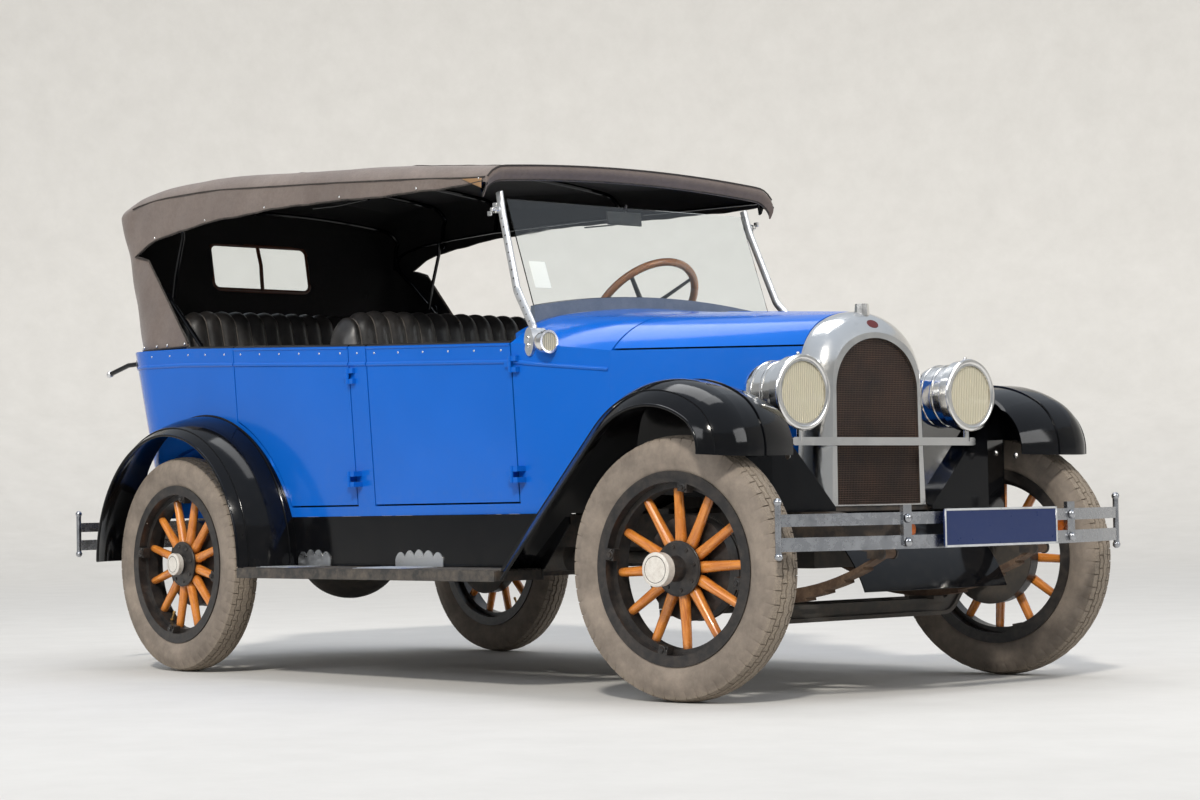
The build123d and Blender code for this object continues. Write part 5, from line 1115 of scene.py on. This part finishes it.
def arc_line(x, y, z, r, start, end, n):
    return [(x + r * cos(a), y, z + r * sin(a)) for a in np.radians(np.linspace(start, end, n))]


def front_wing_line(y, lift=0.0):
    """A line along the wing at a width: straight slope, crest, then the nose."""
    edge = (835, -75) if y > 715 else (500, -35)
    off = section_height(y, 715, edge) + 2.5 + lift
    a = radians(43.7)
    end = np.array((1137.1, y, 805.6)) + np.array((-sin(a), 0, cos(a))) * off
    slope = np.array((cos(a), 0, sin(a))) * 590
    return [end - slope, end - slope / 2, *arc_line(1410, y, 520, 395 + off, 133.7, 60, 26),
            *arc_line(1517.5, y, 706.2, 180 + off, 58, -5, 18)]


def rear_wing_line(y, lift=0.0):
    off = (section_height(y, 645, (835, -66)) if y > 645 else 0.0) + 2.5 + lift
    return arc_line(-1090, y, AXLE_Z, 520 + off, 178.5, -0.5, 60)


edges, bolts = Batch(), Batch()
for line, inner in ((front_wing_line, 640), (rear_wing_line, 668)):
    for y in (inner, 806):
        edges.tube(line(y), 1, 8, section=(4.5, 2.2), up=OUT)
    edges.tube(line(834, -4), 5)
for t in (112, 96, 80):
    n = np.array((cos(radians(t)), 0, sin(radians(t))))
    bolts.bolt((-1090, 622, AXLE_Z) + n * 522.5, n, 6, 5)
for x, z in ((1640, 690), (1560, 700)):
    bolts.bolt((x, 497.5, z), (0, -1, 0), 7, 5)
edges.mirror().build("wing_beads_and_edges", BLACK, "black_paint")
bolts.mirror().build("wing_bolts", NICKEL, "nickel")

# Radiator badge, a bare domed oval, and the headlamps' rims and clips
LAMP_Y, LAMP_Z, BADGE, SLOPE = 365, 876, (1514.5, 0, 1086.5), unit((0.84, 0, 0.54))
across, along = np.array(OUT), np.cross(SLOPE, OUT)
c, s = circle(32)
badge = Batch().grid([BADGE + np.outer(c, across) * 24 * f + np.outer(s, along) * 15 * f + SLOPE * h
                      for f, h in ((1.0, 0), (1.0, 1.8), (0.94, 3), (0.5, 3.3), (0.02, 3.36))], False, True)
badge.f.append(list(range(32))[::-1])             # the flat back
badge.build("radiator_badge_blank", RED_ENAMEL)
rims = Batch()
for x, r, w in ((1459, 95.5, 3), (1500, 95.5, 5), (1538, 96.5, 3)):
    rims.lathe([(r - 2, -w), (r + 1.6, -w), (r + 2.4, -w / 2), (r + 2.4, w / 2), (r + 1.6, w), (r - 2, w)],
               (x, LAMP_Y, LAMP_Z), AHEAD, 64, ring=True)
rims.lathe([(100, 33), (109.5, 34), (111, 37), (109, 40.5), (104, 42.5), (98, 42), (93, 38), (91, 34)],
           (1540, LAMP_Y, LAMP_Z), AHEAD, 72, ring=True)
rims.bolt((1560, LAMP_Y, LAMP_Z + 108), UP, 5, 8)
rims.mirror().build("headlamp_trim", NICKEL, "nickel")

# Bumpers, plate border and signal lenses
BUMPER_R = 1795.5
bolts = Batch()
for side, x in ((1, 194), (-1, -200)):
    for z in (444, 510):
        reach = BUMPER_R * cos(atan2(357, BUMPER_R)) + 9.5
        bolts.lathe([(13, 0), (13, 3), (11, 6), (7, 8.5), (2, 9.5)], (x + side * reach, 357, z), (side, 0, 0))
bolts.mirror().build("bumper_bolts", BUMPER_NICKEL_DARKENED, "nickel")
border = Batch()
for y in (-242, 242):
    border.block((2000.6, y, 480), (1.6, 6, 108), 0.6)
for z in (429, 531):
    border.block((2000.6, 0, z), (1.6, 484, 6), 0.6)
border.build("number_plate_border", ALU, "nickel")
for name, x, axis, material in (("front_signal_lenses", 1942, AHEAD, AMBER),
                                ("tail_lamp_lenses", -1930, BEHIND, RED)):
    lens = Batch().lathe([(22.5, -1), (22.5, 2), (20, 5), (12, 7.5), (3, 8.5)], (x, 326.5, 478), axis, 32)
    lens.mirror().build(name, material, "amber")

# Windscreen posts, mirror and the blank paper on the glass
POST = ((672, 606, 1050), (654, 600, 1112), (545, 572, 1236), (447, 545, 1483), (427, 540, 1556))
clamps, screws = Batch(), Batch()
for x, y, z in resample(POST, 30)[3:-2]:
    screws.rivet((x + 3, y + 8.2, z), (0.12, 1, 0.1), 3.4, 1.4)
clamps.lathe([(13, 0), (13, 4), (8, 6), (8, 16), (5, 19)], (437, 565, 1499), OUT, 20)
for k in (-1, 1):
    clamps.block((437 + 13 * k, 578, 1499 + 12 * k), (20, 5, 16), 2)
for z in (1055, 1078):
    clamps.bolt((668, 633, z), OUT, 6, 4)
clamps.mirror().build("windscreen_wing_nuts", NICKEL, "nickel")
screws.mirror().build("windscreen_post_screws", WHEEL_BLACK, "black_paint")
mirror = Batch().block((426, -12, 1500), (8, 150, 44), 5, (1, 0, 0.1))
mirror.tube([(430, -12, 1520), (440, -12, 1545)], 4, 8)
mirror.build("driving_mirror_shell", WHEEL_BLACK, "black_paint")
paper = Batch().block((527.476, -462, 1290), (0.8, 66, 92), 0.3, (0.9395, 0, 0.3427))
paper.build("windscreen_blank_paper", WHITE)

# Running boards: ribs and edging of the mat, step plates with scalloped kick plates
BOARD_X, STEP_Y, KICK_Y, SCALLOPS = 44, 741.5, (640.6, 643.4), 61
ribs = Batch()
for y in np.arange(650, 832, 14.0):
    ribs.block((BOARD_X, y, 370), (1366, 7, 5), 1.2)
for y in (640.5, 834):
    ribs.block((BOARD_X - 0.5, y, 353), (1374, 3.4, 33), 1.2)
ribs.mirror().build("running_board_ribs", MAT)
steps = Batch()
for x0, x1, waves in ((-555, -370, 4), (-10, 240, 5)):
    x, length = (x0 + x1) / 2, x1 - x0
    steps.block((x, STEP_Y, 371.6), (length, 151, 3.4), 1)
    for k in range(9):
        steps.block((x, 680 + k * 15.3, 374), (length - 16, 4, 2.4), 1)
    columns = []
    for u in np.linspace(0, 1, SCALLOPS):
        top = 396 + 20 * abs(sin(pi * waves * u)) ** 0.7 + 12 * sin(pi * u)
        (near, far), x = KICK_Y, x0 + length * u
        columns.append([(x, near, 373), (x, near, top), (x, far, top), (x, far, 373)])
    steps.grid(columns, False, True, True)
steps.mirror().build("step_plates_scalloped", ALU, "nickel", replaces="step_plates", angle=30)

# Steering wheel and dials
COLUMN, HUB = unit((-0.7487, 0, 0.6630)), np.array((140, 330, 1230.0))
u, v, _ = basis(COLUMN, OUT)
c, s = circle(96)
on = {"body": "steering_wheel", "replaces": "steering_wheel"}
rim = Batch().tube(HUB + (np.outer(c, u) + np.outer(s, v)) * 206, 1, 16, True, (14.5, 12.5), COLUMN)
rim.build("steering_wheel_rim", RIM_WOOD, "rim_wood", **on)
spider = Batch()
for k in range(4):
    a = radians(45 + 90 * k)
    d = u * cos(a) + v * sin(a)
    spider.tube([HUB + d * r + COLUMN * h for r, h in ((24, -6), (90, -4), (196, 1))], [1.15, 1, 0.85],
                section=(9, 5), up=COLUMN)
spider.lathe([(10, -30), (34, -26), (36, -12), (36, 4), (30, 12), (16, 17), (5, 18)], HUB, COLUMN, 40)
spider.build("steering_wheel_spider", WHEEL_BLACK, "black_paint", **on)
dials = Batch()
for y, r in ((0, 44), (-105, 30), (105, 30), (-190, 22), (190, 22)):
    dials.lathe([(r, -2), (r, 4), (r - 2, 6.5), (r - 5, 7), (r - 6, 4), (r - 7, 3), (3, 3.4)], (562, y, 1080),
                BEHIND, 40)
dials.build("dashboard_dials", NICKEL, "nickel")

# Rounder rear corners of the tub
CAD_R = 150              # plan radius of the solid's corners


def round_corner(x, y, z):
    """Moves a point of the tub from the solid's corner radius to the real one, along the wall."""
    half, tail, _ = tub_at(z)
    hx, hy = x - tail, half - abs(y)
    if hx > TUB_R or hy > TUB_R or min(hx, hy) > 100:
        return x, y, z
    straight = TUB_R - CAD_R
    if hx < CAD_R and hy < CAD_R:
        depth = CAD_R - hypot(CAD_R - hx, CAD_R - hy)
        along = straight + atan2(CAD_R - hx, CAD_R - hy) * (CAD_R - depth)
    elif hy < hx:
        depth, along = hy, TUB_R - hx
    else:
        depth, along = hx, straight + (CAD_R - hx) * pi / 2 + hy - CAD_R
    a = along / (2 * straight + (CAD_R - depth) * pi / 2) * pi / 2
    hx, hy = TUB_R - (TUB_R - depth) * sin(a), TUB_R - (TUB_R - depth) * cos(a)
    return tail + hx, (half - hy) * (1 if y > 0 else -1), z


def line_inside(me):
    """Black trim on the faces that look into the cabin."""
    me.materials.append(TRIM)
    for f in me.polygons:
        c, n = f.center, f.normal
        sideways = n.y * c.y < 0 and abs(n.y) > 0.5 and abs(c.y) > 0.3
        if sideways or n.x > 0.6 and c.x < -1.4 or n.x < -0.6 and 0.56 < c.x < 0.7:
            f.material_index = len(me.materials) - 1


for name in (*DOORS, "sills_and_centre_posts", "cowl"):
    line_inside(nodes[name].data)

# a copy of the tub's mesh, cut finely through the corners and bent
tub = nodes["rear_tub"].data.copy()
bm = bmesh.new()
bm.from_mesh(tub)
bmesh.ops.remove_doubles(bm, verts=bm.verts, dist=0.00001)
cuts = [((x, 0, 0), AHEAD) for x in range(-1714, -1310, 18)]
cuts += [((0, s * y, 0), OUT) for y in range(382, 682, 18) for s in (-1, 1)]
for at, n in cuts:
    bmesh.ops.bisect_plane(bm, geom=[*bm.verts, *bm.edges, *bm.faces], plane_co=Vector(at) * MM, plane_no=n,
                           dist=0.00001)
for v in bm.verts:
    v.co = Vector(round_corner(*(v.co / MM))) * MM
bmesh.ops.recalc_face_normals(bm, faces=bm.faces)
bm.to_mesh(tub)
bm.free()
tub.materials.clear()
tub.materials.append(BLUE)
smooth(tub, 35)
line_inside(tub)
enter(bpy.data.objects.new("rear_tub_rounded", tub), "body", "body_blue", "rear_tub")

# the rubber strip under the windscreen, on the same solid as the posts
frame_mesh = nodes["windscreen_frame"].data
frame_mesh.materials.append(STRIP)
for f in frame_mesh.polygons:
    if abs(f.center.y) < 0.522 and 0.540 < f.center.x < 0.570:
        f.material_index = 1

scene.view_settings.view_transform = "Standard"
